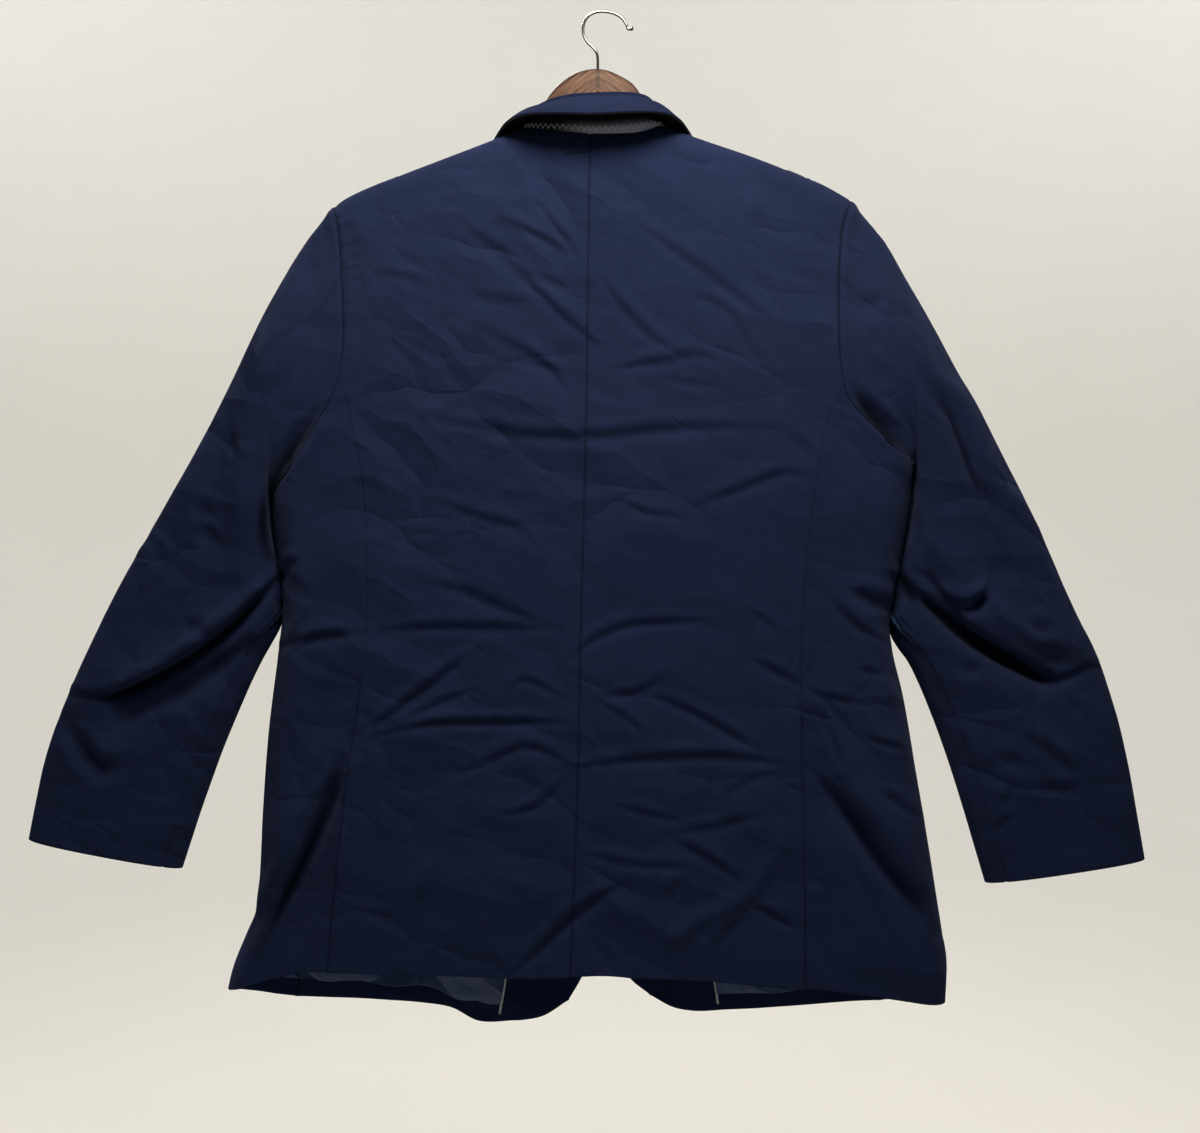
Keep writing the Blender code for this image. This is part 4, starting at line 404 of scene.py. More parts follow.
# Creases behind (seen in the photograph) and in front (hidden, alike): half-width in pixels, depth in
# millimetres, and a path in the photograph's pixels. The crease unit is one millimetre.
CREASE_UNIT = 0.001
Crease = namedtuple("Crease", "kind width depth path")
CREASES_BEHIND = crease_rows(
    # Upper back
    ("roll", 7, 2.3, (448, 208), (513, 267), (553, 307), (583, 333), (613, 357)),
    ("roll", 6, 1.7, (493, 213), (540, 238), (577, 257)),
    ("roll", 5, 1.4, (533, 197), (560, 232), (580, 260)),
    ("roll", 6, 1.3, (367, 272), (405, 278), (440, 290)),
    ("roll", 6, 1.6, (460, 288), (500, 302), (533, 300)),
    ("pinch", 5, 1.2, (520, 270), (548, 282), (577, 290)),
    ("roll", 7, 1.7, (480, 327), (533, 357), (570, 377)),
    ("roll", 6, 1.4, (500, 357), (553, 373), (570, 397)),
    ("roll", 6, 1.2, (400, 337), (428, 352), (453, 363)),
    ("roll", 9, 2.2, (383, 407), (487, 430), (583, 438), (660, 430), (793, 428)),
    ("roll", 7, 1.7, (430, 497), (477, 517), (520, 530), (537, 547)),
    ("pinch", 5, 0.9, (407, 530), (424, 533), (440, 532)),
    ("roll", 7, 1.7, (630, 217), (670, 247), (720, 283), (760, 313), (800, 333)),
    ("roll", 6, 1.3, (747, 260), (772, 295), (793, 327)),
    ("roll", 7, 1.7, (600, 277), (627, 313), (660, 343), (683, 357)),
    ("roll", 7, 1.6, (683, 293), (727, 310), (747, 343), (773, 370)),
    ("roll", 7, 1.7, (610, 370), (660, 362), (707, 357), (723, 370)),
    ("pinch", 5, 1.0, (667, 380), (695, 385), (720, 387)),
    ("pinch", 6, 1.4, (790, 433), (802, 447), (810, 463)),
    ("roll", 7, 2.0, (687, 510), (747, 487), (787, 473), (812, 475)),
    ("roll", 6, 1.4, (617, 500), (647, 513), (687, 517)),
    ("ridge", 5, 1.2, (760, 190), (757, 200), (753, 213)),
    ("ridge", 5, 1.0, (800, 190), (797, 202), (793, 215)),
    ("ridge", 7, 1.4, (807, 297), (822, 327), (837, 357)),
    ("pinch", 7, 1.3, (818, 225), (826, 250), (832, 285)),
    # Lower back
    ("roll", 8, 2.2, (367, 632), (433, 628), (493, 628), (560, 630)),
    ("roll", 8, 1.7, (413, 580), (467, 593), (513, 613), (560, 630)),
    ("roll", 7, 2.9, (357, 737), (387, 717), (433, 683), (477, 647)),
    ("roll", 7, 2.6, (367, 740), (413, 727), (500, 723), (577, 723)),
    ("roll", 6, 1.7, (383, 730), (430, 708), (480, 687)),
    ("roll", 7, 1.9, (460, 773), (500, 757), (520, 748), (577, 767)),
    ("roll", 6, 1.4, (503, 697), (517, 683), (567, 700)),
    ("ridge", 9, 2.6, (447, 790), (437, 843), (413, 893), (397, 920)),
    ("roll", 6, 1.3, (360, 910), (387, 920), (397, 930)),
    ("roll", 9, 3.5, (513, 973), (543, 947), (567, 923), (593, 903), (630, 880)),
    ("roll", 7, 1.9, (497, 817), (537, 807), (567, 777)),
    ("pinch", 7, 1.7, (593, 940), (602, 955), (610, 972)),
    ("roll", 7, 1.9, (560, 670), (580, 650), (623, 627), (670, 623), (720, 620)),
    ("roll", 6, 1.4, (747, 607), (763, 620), (780, 633)),
    ("roll", 7, 1.9, (750, 657), (775, 672), (800, 683)),
    ("roll", 6, 1.6, (597, 697), (643, 690), (673, 670)),
    ("roll", 6, 1.4, (600, 703), (625, 718), (647, 737)),
    ("roll", 7, 2.2, (643, 693), (693, 713), (740, 740), (767, 757)),
    ("roll", 8, 2.2, (560, 770), (643, 760), (737, 758), (800, 768)),
    ("pinch", 5, 1.3, (677, 767), (676, 783), (673, 800)),
    ("roll", 6, 1.4, (713, 807), (747, 783), (793, 770)),
    ("roll", 6, 1.3, (610, 803), (640, 813), (687, 823)),
    ("roll", 7, 2.2, (667, 837), (710, 860), (747, 887)),
    ("roll", 7, 1.7, (670, 835), (718, 827), (767, 813)),
    ("ridge", 10, 4.1, (800, 820), (773, 860), (750, 893), (693, 923), (647, 962)),
    ("roll", 7, 2.2, (750, 903), (775, 918), (800, 930)),
    ("pinch", 6, 1.6, (697, 872), (670, 897), (663, 917)),
    ("roll", 7, 1.6, (577, 853), (647, 867), (703, 867)),
    ("roll", 7, 1.9, (707, 970), (723, 937), (747, 913)),
    # Left side body and skirt
    ("pinch", 6, 1.7, (283, 570), (300, 592), (317, 603)),
    ("roll", 8, 3.1, (283, 648), (320, 638), (360, 633)),
    ("pinch", 5, 1.7, (283, 648), (297, 638), (310, 610)),
    ("pinch", 7, 5.0, (352, 735), (327, 810), (300, 873), (277, 920), (260, 962)),
    ("ridge", 7, 2.4, (340, 745), (303, 813), (280, 860), (260, 900), (238, 960)),
    # Right side body and skirt
    ("pinch", 8, 3.6, (847, 590), (870, 600), (893, 612)),
    ("roll", 7, 2.4, (830, 593), (843, 613), (863, 630), (887, 643)),
    ("roll", 6, 1.7, (860, 670), (874, 673), (887, 673)),
    ("roll", 6, 1.7, (813, 693), (838, 700), (863, 703)),
    ("roll", 6, 1.7, (857, 733), (882, 743), (907, 750)),
    ("pinch", 8, 5.0, (808, 768), (843, 810), (877, 860), (910, 900), (937, 937)),
    ("ridge", 8, 2.6, (830, 760), (875, 815), (915, 870), (938, 915)),
    ("roll", 8, 2.5, (850, 860), (873, 903), (893, 943)),
    ("roll", 7, 2.1, (873, 787), (897, 803), (920, 820)),
    ("roll", 6, 1.7, (813, 700), (827, 727), (843, 767)),
    ("pinch", 5, 1.3, (807, 873), (813, 880), (820, 887)),
    # Left sleeve
    ("ridge", 15, 5.8, (310, 237), (273, 340), (250, 413), (242, 480), (237, 547), (247, 590)),
    ("roll", 10, 12.0, (292, 562), (258, 600), (222, 635), (185, 662), (145, 684), (105, 697), (70, 694)),
    ("pinch", 9, 4.0, (252, 640), (205, 675), (160, 702), (115, 722)),
    ("pinch", 10, 4.5, (63, 720), (80, 747), (103, 770), (133, 757)),
    ("pinch", 8, 2.4, (190, 507), (203, 512), (217, 520)),
    ("pinch", 8, 2.4, (200, 520), (205, 533), (220, 547)),
    ("pinch", 7, 2.1, (227, 443), (233, 446), (240, 450)),
    ("pinch", 8, 2.2, (147, 533), (155, 550), (163, 567)),
    ("pinch", 8, 2.7, (180, 626), (196, 630), (213, 632)),
    ("pinch", 7, 1.8, (316, 258), (311, 275), (304, 292)),
    ("pinch", 8, 2.4, (290, 372), (281, 382), (270, 398)),
    ("pinch", 8, 5.0, (318, 410), (303, 434), (290, 456), (283, 470)),
    # Right sleeve
    ("roll", 10, 10.5, (897, 577), (940, 610), (980, 640), (1020, 662), (1057, 680), (1088, 667)),
    ("roll", 9, 6.0, (927, 577), (947, 600), (970, 607), (987, 593), (990, 573)),
    ("pinch", 8, 3.9, (1027, 620), (1042, 628), (1057, 633)),
    ("roll", 11, 6.0, (913, 347), (927, 380), (950, 407), (983, 483), (1007, 517), (1030, 533)),
    ("pinch", 8, 2.1, (862, 228), (870, 240), (880, 254)),
    ("pinch", 8, 2.4, (862, 303), (875, 302), (890, 300)),
    ("pinch", 7, 2.2, (887, 305), (900, 313), (913, 322)),
    ("pinch", 7, 2.1, (866, 340), (876, 341), (886, 341)),
    ("pinch", 7, 2.1, (866, 372), (880, 375), (893, 375)),
    ("roll", 8, 3.0, (917, 510), (919, 535), (923, 560)),
    ("pinch", 8, 2.7, (960, 665), (970, 670), (984, 672)),
    ("roll", 7, 2.7, (1070, 697), (1077, 706), (1087, 717)),
    ("roll", 8, 3.6, (1020, 730), (1057, 757), (1080, 777)),
    ("pinch", 7, 2.4, (993, 760), (1010, 763), (1027, 770)),
    ("roll", 7, 2.4, (1013, 783), (1010, 793), (1007, 803)),
    ("roll", 7, 2.2, (1013, 813), (1003, 822), (993, 830)),
    ("roll", 7, 2.7, (1027, 780), (1063, 788), (1090, 783)),
    ("pinch", 4, 1.0, (1118, 722), (1130, 760), (1138, 800), (1141, 850)),
    ("pinch", 7, 6.0, (853, 382), (866, 405), (888, 428), (908, 447)),
)
CREASES_BEFORE = crease_rows(
    ("roll", 11, 2.1, (585, 640), (640, 600), (720, 570), (800, 560)),
    ("roll", 10, 1.8, (590, 655), (650, 650), (730, 655), (810, 672)),
    ("roll", 11, 2.1, (570, 640), (520, 602), (440, 577), (360, 572)),
    ("roll", 10, 1.7, (568, 656), (500, 655), (420, 668), (350, 690)),
    ("roll", 10, 1.6, (420, 330), (385, 380), (360, 440)),
    ("roll", 10, 1.6, (790, 330), (812, 380), (826, 450)),
    ("ridge", 14, 2.6, (470, 830), (440, 900), (405, 985)),
    ("ridge", 14, 2.6, (700, 840), (735, 905), (770, 990)),
    ("pinch", 12, 3.1, (330, 780), (310, 860), (290, 960)),
    ("pinch", 12, 3.1, (850, 790), (872, 870), (890, 960)),
    ("ridge", 14, 3.1, (315, 260), (272, 350), (243, 450), (215, 540)),
    ("roll", 11, 4.4, (270, 585), (215, 625), (160, 650), (105, 655)),
    ("roll", 10, 2.9, (235, 660), (190, 700), (120, 735)),
    ("ridge", 14, 3.1, (885, 270), (925, 360), (962, 450), (1000, 540)),
    ("roll", 11, 4.4, (905, 590), (960, 630), (1015, 650), (1070, 645)),
    ("roll", 10, 2.9, (950, 680), (1000, 715), (1080, 740)),
    ("pinch", 8, 1.3, (520, 300), (505, 360), (480, 430)),
    ("pinch", 8, 1.3, (665, 300), (688, 360), (705, 430)),
)
# A crease's shape across it: a rim's rise as a share of the depth, and the place and width, in half-widths,
# of a rim or dip
PINCH_RIM = 0.4
PINCH_RIM_PLACE = (1.7, 0.8)
ROLL_RISE = 0.75
ROLL_RISE_PLACE = (1.1, 0.9)
ROLL_DIP_PLACE = (-0.2, 0.75)
# Creases narrow and flatten to these shares at their ends, over the taper's share of their length, and
# reach this many half-widths out
CREASE_TAPER = 0.35
CREASE_END_WIDTH = 0.6
CREASE_END_DEPTH = 0.12
CREASE_ROOM = 4
# Creases show on the back or the front by the y part of the surface's normal
FACE_EDGE = 0.15
FACE_FADE = 0.5
# At the armhole the creases fade to nothing over this many pixels
ARM_CALM = 10.0
# The groove along a seam, and the line of painted shade along it
SEAM_GROOVE = 0.0009
SEAM_GROOVE_WIDTH = 0.0017
SEAM_SHADE_WIDTH = 0.0008
SEAM_SHADE = 0.55
# Cloth that lies deeper than a depth gets painted shade, full when it is deeper by the fade
VALLEY_SHADE = 0.86
VALLEY_FROM = 0.002
VALLEY_FADE = 0.0045
# Sleeve seams are this share as deep, and their painted shade this share as dark
SHALLOW = 0.35
# Slow waves of the cloth: their height, the pixels to a radian, the share of them in front, and for each
# wave how fast it runs across and down, where it starts and its share
SWELL = 0.0012
SWELL_LENGTH = 62.0
FRONT_SWELL = 0.6
SWELLS = ((1.0, 0.35, 0.4, 1.0), (0.4, 0.9, 2.1, 1.0), (-0.8, 0.7, 4.0, 0.7), (1.9, 0.5, 1.3, 0.35))

# Where each sleeve is drawn in to lie on the body, how far, and how tall a stretch
DrawnIn = namedtuple("DrawnIn", "z reach fade")
DRAWN_IN = {
    "left": DrawnIn(-0.545, 0.006, 0.045),
    "right": DrawnIn(-0.555, 0.0075, 0.05),
}
# A sleeve's surface is drawn in where it faces the body, from this much of its normal on
INWARD_FROM = 0.1
INWARD_FADE = 0.5
# The collar's stand reaches under the neck seam, and is tucked in over the first part of a grid row
COLLAR_UNDERLAP = 0.005
COLLAR_TUCK = 0.0032
COLLAR_TUCK_ROWS = 0.45
# The back's neck edge is raised to meet it
NECK_RAISE = 0.003
# The undercollar's fold has painted shade, left out from an x on and up to a grid row where the stand
# is lit, and painted again short of its outer edge. Rows and their fades are in grid rows.
FOLD_LIT = 0.72
FOLD_LIT_FROM = -0.052
FOLD_LIT_WIDTH = 0.045
FOLD_LIT_FADE = 0.3
FOLD_OUTER_FADE = 0.6
FOLD_OUTER_REST = 0.45
# The top collar's painted shade, the same all over, holding back the light on its upturned face
COLLAR_SHADE = 0.3
# The sleeve head stands proud beside the armhole seam, and fades out down to a height
SLEEVE_HEAD = 0.0016
SLEEVE_HEAD_FROM = 0.006
SLEEVE_HEAD_WIDTH = 0.005
SLEEVE_HEAD_END = -0.36
SLEEVE_HEAD_FADE = 0.07
# How dark full painted shade is
SHADE_STRENGTH = 0.975

# How finely the cloth is divided
BACK_PARTS = (15, 7)
SIDE_PARTS = (13, 7)
FRONT_PARTS = (5, 7)
SLEEVE_PARTS = (10, 4)
COLLAR_PARTS = (5, 6)
LAPEL_PARTS = (5, 8)
FACING_PARTS = (4, 7)
LINING_PARTS = (8, 10)
PATCH_PARTS = (8, 8)
NEAR_SEAM = (0.02, 0.05, 0.1)
SLEEVE_NEAR_SEAM = (0.08, 0.2)
FRONT_STRIP_ROWS = 15
FRONT_STRIP_COLUMNS = 4
LINING_ROWS = 10
LINING_COLUMNS = 9
# A shell's free edge bulges by this share of its thickness, and is sharp where it turns by more degrees
RIM_BULGE = 0.45
CLOTH_SHARP = 58
LATHE_SHARP = 50

# Threads
THREAD = 0.00035
ZIGZAG_PITCH = 0.0058
ZIGZAG_HEIGHT = 0.0023
ZIGZAG_ROW = 0.35
ZIGZAG_ENDS = (0.12, 0.88)
BACK_STITCH_POINTS = 6
BACK_STITCH_Z = -0.143
BACK_STITCHES = ((-0.038, -0.034), (-0.0325, -0.0285), (-0.027, -0.023), (-0.0215, -0.018))

# For the sums: a distance beyond any other, the least lengths to divide by, the least step that isn't
# upright, the slack at a range's end, the digits of a place, and numbers of samples
FAR = 1e9
TINY = 1e-12
TINY_STEP = 1e-9
UPRIGHT = 1e-6
SLACK = 1e-6
PLACE_DIGITS = 6
ARM_SAMPLES = 801
ARM_LINE_SAMPLES = 61

# Light and stage. Lamps: name, place, what they are aimed at, size, power, colour and spread in degrees
WORLD_COLOUR = (0.75, 0.85, 1.0, 1)
WORLD_LIGHT = 0.06
LAMPS = (
    ("near_top", (0.05, -0.56, 0.42), (0.0, -0.02, -0.24), 0.4, 12.0, (1.0, 0.87, 0.71), 120),
    ("above", (0.0, -0.5, 2.4), (0.0, 0.0, -0.3), 1.2, 4.0, (1.0, 0.97, 0.93), 180),
    ("front_side", (-0.3, 0.95, 0.70), (0.0, 0.02, -0.35), 0.5, 26.0, (1.0, 0.93, 0.84), 180),
    ("wall_left", (-2.0, 1.9, 2.9), (-2.2, 4.6, -0.4), 3.4, 100.0, (1.0, 0.99, 0.97), 180),
    ("wall_right", (2.0, 1.9, 2.9), (2.2, 4.6, -0.4), 3.4, 100.0, (1.0, 0.99, 0.97), 180),
    ("wall_before", (0.0, -1.8, 3.0), (0.0, -4.8, -0.6), 3.2, 32.0, (0.82, 0.90, 1.0), 180),
)
FLOOR_TURNS = 96
FLOOR_CENTRE = 0.001
FLOOR_MIDDLE = 1.2
COVE_START = 0.1
COVE_RINGS = 12
FLOOR_Z = -1.6
FLOOR_RADIUS = 3.6
COVE = 1.6
WALL_TOP = 3.4

# Colours, in linear light
NAVY = (0.0076, 0.0118, 0.0335)
SATIN_NAVY = (0.014, 0.033, 0.09)
MELTON_GREY = (0.27, 0.275, 0.35)
PIPING_GREY = (0.36, 0.37, 0.4)
THREAD_GREY = (0.52, 0.52, 0.56)
THREAD_NAVY = (0.002, 0.003, 0.007)
BUTTON_NAVY = (0.01, 0.011, 0.018)
WOOD_LIGHT = (0.1, 0.056, 0.0375)
WOOD_DARK = (0.02, 0.0085, 0.005)
CHROME = (0.13, 0.13, 0.142)
PALE = (0.71, 0.695, 0.655)

# Painted shadows where the sleeve is tucked in beside the armhole: as creases, with the painted shade in
# place of the depth
SHADOWS = crease_rows(
    ("pinch", 9, 1.0, (327, 402), (307, 430), (288, 458), (273, 487), (265, 518), (267, 552), (280, 578)),
    ("pinch", 8, 1.0, (853, 384), (864, 406), (884, 430), (905, 448), (918, 458)),
    ("pinch", 8, 0.9, (897, 556), (900, 574), (910, 592), (926, 608)),
)


def smooth(t):
    """0 below 0, 1 above 1, and an even rise between."""
    t = np.clip(t, 0.0, 1.0)
    return t * t * (3.0 - 2.0 * t)


def between(first, last, share):
    return first + (last - first) * share


def eased(a, b, slope_a, slope_b, t):
    """A smooth line from a to b that keeps the slopes of both ends."""
    t2, t3 = t ** 2, t ** 3
    return (a * (2 * t3 - 3 * t2 + 1) + slope_a * (t3 - 2 * t2 + t)
            + b * (3 * t2 - 2 * t3) + slope_b * (t3 - t2))


def through(knots, values, at):
    """A smooth line through knots and values, carried on straight past its ends."""
    knots = np.asarray(knots, float)
    values = np.asarray(values, float)
    at = np.asarray(at, float)
    slopes = np.gradient(values, knots)
    i = np.clip(np.searchsorted(knots, at, side="right") - 1, 0, len(knots) - 2)
    span = knots[i + 1] - knots[i]
    t = (at - knots[i]) / span
    inside = np.clip(t, 0.0, 1.0)
    da, db = slopes[i] * span, slopes[i + 1] * span
    return eased(values[i], values[i + 1], da, db, inside) + (t - inside) * np.where(t < 0, da, db)


def along(values, at):
    """Values at fractional row numbers, on smooth lines through the rows."""
    slopes = np.gradient(values, axis=0)
    i = np.clip(np.floor(at).astype(int), 0, len(values) - 2)
    t = (at - i).reshape(-1, *[1] * (values.ndim - 1))
    return eased(values[i], values[i + 1], slopes[i], slopes[i + 1], t)


def column(rows, name):
    return np.array([getattr(row, name) for row in rows])


def read(rows, by, name, at):
    """A table's named values at places in another of its columns."""
    return through(column(rows, by), column(rows, name), at)


def seam_out(rows, z):
    """How far out a line that runs down lies at a height."""
    return through(-column(rows, "z"), column(rows, "out"), -np.asarray(z))


def run_of(points):
    """Each point's distance along the line of points."""
    return np.concatenate([[0.0], np.cumsum(np.linalg.norm(np.diff(points, axis=0), axis=1))])


def shares_of(points):
    run = run_of(points)
    return run / run[-1]


def curve(points, fractions):
    """Points at fractions of the length of a smooth curve through points."""
    points = np.asarray(points, float)
    run = run_of(points)
    at = np.asarray(fractions) * run[-1]
    return np.stack([through(run, points[:, k], at) for k in range(points.shape[1])], axis=-1)


def unit(vectors):
    return vectors / np.maximum(np.linalg.norm(vectors, axis=-1, keepdims=True), TINY)


def coons(top, bottom, start, end, across, down):
    """A grid of points inside four edges that share their corners."""
    u = np.asarray(across)[None, :, None]
    v = np.asarray(down)[:, None, None]
    rows = (1 - v) * top[None] + v * bottom[None]
    columns = (1 - u) * start[:, None] + u * end[:, None]
    corners = ((1 - u) * (1 - v) * top[0] + u * (1 - v) * top[-1]
               + (1 - u) * v * bottom[0] + u * v * bottom[-1])
    return rows + columns - corners


def side_out(side, z):
    return seam_out(SIDE_OUT[side], z)


def ridge_z(side, out):
    return read(RIDGE[side], "out", "z", out)


def layer(side, out, z, face):
    """The body's middle in y, and how far the back (-1) or front (+1) lies from it."""
    drop = np.maximum(ridge_z(side, out) - z, 0.0)
    bend = ARM_BEND * (np.abs(out) / TIP_OUT) ** BEND_POWER
    middle = bend * (1 - (1 - BEND_LEFT_BELOW) * smooth(drop / BEND_FADE))
    top = SHOULDER_DEPTH * np.sqrt(1 - (1 - np.minimum(drop / SHOULDER_ROUND, 1.0)) ** 2)
    from_neck = (out * SIGN[side] - CENTRE_TOP_X) / NECK_WIDTH
    neck = NECK_FULLNESS * np.exp(-from_neck ** 2) * np.exp(-drop / NECK_FALL) * smooth(drop / NECK_START)
    back = top + BACK_FULLNESS * (1 - np.exp(-drop / BACK_FALL)) + neck
    front = top + FRONT_FULLNESS * (1 - np.exp(-drop / FRONT_FALL))
    return middle, np.where(face < 0, back, front)


def turn_of(side, out, z, face):
    """The distance round the body from its side, for a place on the back (-1) or front (+1)."""
    gap = side_out(side, z) - np.asarray(out)
    turned = SIDE_ROUND * np.arccos(np.clip(1 - gap / SIDE_ROUND, -1, 1))
    flat = SIDE_ROUND * pi / 2 + (gap - SIDE_ROUND)
    return face * np.where(gap < SIDE_ROUND, turned, flat)


def round_body(side, turn, z):
    """The body's surface at a distance round from its side, 0 there, negative on the back."""
    edge = side_out(side, z)
    face = np.where(turn < 0, -1.0, 1.0)
    angle = np.minimum(np.abs(turn) / SIDE_ROUND, pi / 2)
    out = edge - SIDE_ROUND * (1 - np.cos(angle)) - np.maximum(np.abs(turn) - SIDE_ROUND * pi / 2, 0.0)
    middle, depth = layer(side, out, z, face)
    y = middle + face * depth * np.sin(angle)
    return np.stack([SIGN[side] * out, y, z + 0.0 * y], axis=-1)


def flat_body(side, out, z, face):
    """The body's surface straight behind or before a place seen from the back."""
    middle, depth = layer(side, out, z, face)
    return np.stack([SIGN[side] * out, middle + face * depth, z + 0.0 * depth], axis=-1)


def from_path(across, down, path, samples=14):
    """Distance from a path, positive above it, and how far along the path the nearest place is."""
    line = curve(path, np.linspace(0, 1, samples))
    near = np.full(across.shape, FAR)
    side = np.ones(across.shape)
    place = np.zeros(across.shape)
    for i, (a, b) in enumerate(zip(line[:-1], line[1:])):
        step = b - a
        t = np.clip(((across - a[0]) * step[0] + (down - a[1]) * step[1]) / (step @ step), 0, 1)
        off_x, off_y = across - a[0] - t * step[0], down - a[1] - t * step[1]
        gap = np.hypot(off_x, off_y)
        nearer = gap < near
        above = np.sign(step[0] if abs(step[0]) > UPRIGHT else 1.0) * (step[1] * off_x - step[0] * off_y)
        near = np.where(nearer, gap, near)
        side = np.where(nearer, np.where(above < 0, -1.0, 1.0), side)
        place = np.where(nearer, (i + t) / (samples - 1), place)
    return near * side, place


def tapered(place, share):
    """1 along a path's middle, falling to 0 over a share of its length at both ends."""
    return smooth(place / share) * smooth((1 - place) / share)


def fold_lift(piece, points):
    """How far the named piece's largest folds lift its points."""
    lift = np.zeros(points.shape[:-1])
    for fold in FOLDS:
        if fold.piece == piece:
            path = (fold.start, fold.middle, fold.end)
            away, place = from_path(points[..., 0], points[..., 2], path, FOLD_SAMPLES)
            strength = FOLD_END + (1 - FOLD_END) * tapered(place, FOLD_TAPER)
            lift += fold.lift * np.exp(-(away / fold.width) ** 2) * strength
    return lift


def arm_turns(side, around):
    """The armhole's place round the body and its height, by distance round the armhole."""
    rows = ARMHOLE[side]
    at, z = column(rows, "around"), column(rows, "z")
    turns = turn_of(side, column(rows, "out"), z, np.where(at <= ARM_PIT, -1.0, 1.0))
    turns[at == ARM_PIT] = 0.0
    return through(at, turns, around), through(at, z, around)


def arm_line(side, around):
    turn, z = arm_turns(side, around)
    return round_body(side, turn, z)


def ring_angle(side, around):
    """The sleeve ring's angle for a place round the armhole: 0 at the tip, pi at the pit."""
    around = np.asarray(around, float)
    lap = np.floor(around)
    around = around - lap
    rows = ARMHOLE[side]
    tip = rows[0].z
    pit = [row.z for row in rows if row.around == ARM_PIT][0]
    share = np.clip((tip - read(rows, "around", "z", around)) / (tip - pit), 0.0, 1.0)
    angle = np.arccos(1 - 2 * share)
    return np.where(around <= ARM_PIT, angle, 2 * pi - angle) + lap * 2 * pi


def around_of_angle(side, angle):
    samples = np.linspace(0, 1, ARM_SAMPLES)
    angles = ring_angle(side, samples)
    angles[-1] = 2 * pi
    lap = np.floor(angle / (2 * pi))
    return np.interp(angle - lap * 2 * pi, np.maximum.accumulate(angles), samples)


def seam_angle(measure):
    """A ring angle from a measure that is 0 at the outer edge, 1 at the inner edge and 2 outer again."""
    measure = np.asarray(measure, float)
    back = np.arccos(np.clip(1 - 2 * measure, -1, 1))
    front = 2 * pi - np.arccos(np.clip(1 - 2 * (2 - measure), -1, 1))
    return np.where(measure <= 1, back, front)


def plain_ring(side, angle, down):
    """A sleeve's ring by its table alone: out, y and z."""
    outer_out, outer_z, inner_out, inner_z, depth = (
        read(SLEEVE[side], "down", name, down) for name in Ring._fields[1:])
    c, s = (np.sign(value) * np.abs(value) ** SLEEVE_SQUARENESS for value in (np.cos(angle), np.sin(angle)))
    out = (outer_out + inner_out) / 2 + c * (outer_out - inner_out) / 2
    z = (outer_z + inner_z) / 2 + c * (outer_z - inner_z) / 2
    return out, SLEEVE_MID_Y - depth * s, z


def bare_sleeve(side, angle, down):
    """The sleeve without folds: rings that grow out of the armhole's own line, clear of the body."""
    out, y, z = plain_ring(side, angle, down)
    first = plain_ring(side, angle, 0.0 * down)
    arm = arm_line(side, around_of_angle(side, angle))
    reach = PIT_REACH + TIP_REACH * ((1 + np.cos(angle)) / 2) ** REACH_POWER
    fade = 1 - smooth(down / reach)
    slow_fade = 1 - smooth(down / np.maximum(reach, DEPTH_REACH))
    out = out + fade * (arm[..., 0] * SIGN[side] - first[0])
    y = y + slow_fade * (arm[..., 1] - first[1])
    z = z + fade * (arm[..., 2] - first[2])
    behind = [row for row in ARMHOLE[side] if row.around <= ARM_PIT]
    before = [row for row in ARMHOLE[side] if row.around >= ARM_PIT][::-1]
    back_line, front_line = (np.interp(-z, -column(rows, "z"), column(rows, "out"))
                             for rows in (behind, before))
    face = np.where(y < SLEEVE_MID_Y, -1.0, 1.0)
    edge = side_out(side, z)
    middle, depth = layer(side, edge - SIDE_ROUND / 3, z, face)
    inside = np.clip(np.abs(y - middle) / np.maximum(depth, CLOTH), 0.0, 1.0)
    round_edge = edge - SIDE_ROUND * (1 - np.sqrt(1 - inside ** 2))
    pit_z = behind[-1].z
    below = round_edge + SLEEVE_CLEAR * smooth((pit_z - z) / SHORT_FADE)
    limit = np.where(z > pit_z, np.where(face < 0, back_line, front_line), below)
    limit = np.where((z < behind[0].z) & (down > SLEEVE_FREE), limit, -1.0)
    return np.stack([SIGN[side] * np.maximum(out, limit), y, z], axis=-1)


def sleeve(side, angle, down):
    """The sleeve's outer surface."""
    points = bare_sleeve(side, angle, down)
    lift = fold_lift("sleeve_" + side, points) * smooth(np.sin(angle) / SLEEVE_BACK)
    points[..., 1] -= lift * smooth(down / SLEEVE_PLAIN_END) * smooth((1 - down) / SLEEVE_PLAIN_END)
    return points


def back_rows(side):
    """Fractions round the armhole, then heights down the back side seam."""
    arm = np.array(ARM_STEPS) * ARM_BACK_END
    corner = arm_line(side, np.array([ARM_BACK_END]))[0, 2]
    return arm, np.linspace(corner, BACK_SEAM[side][-1].z, SEAM_ROWS + 1)[1:]


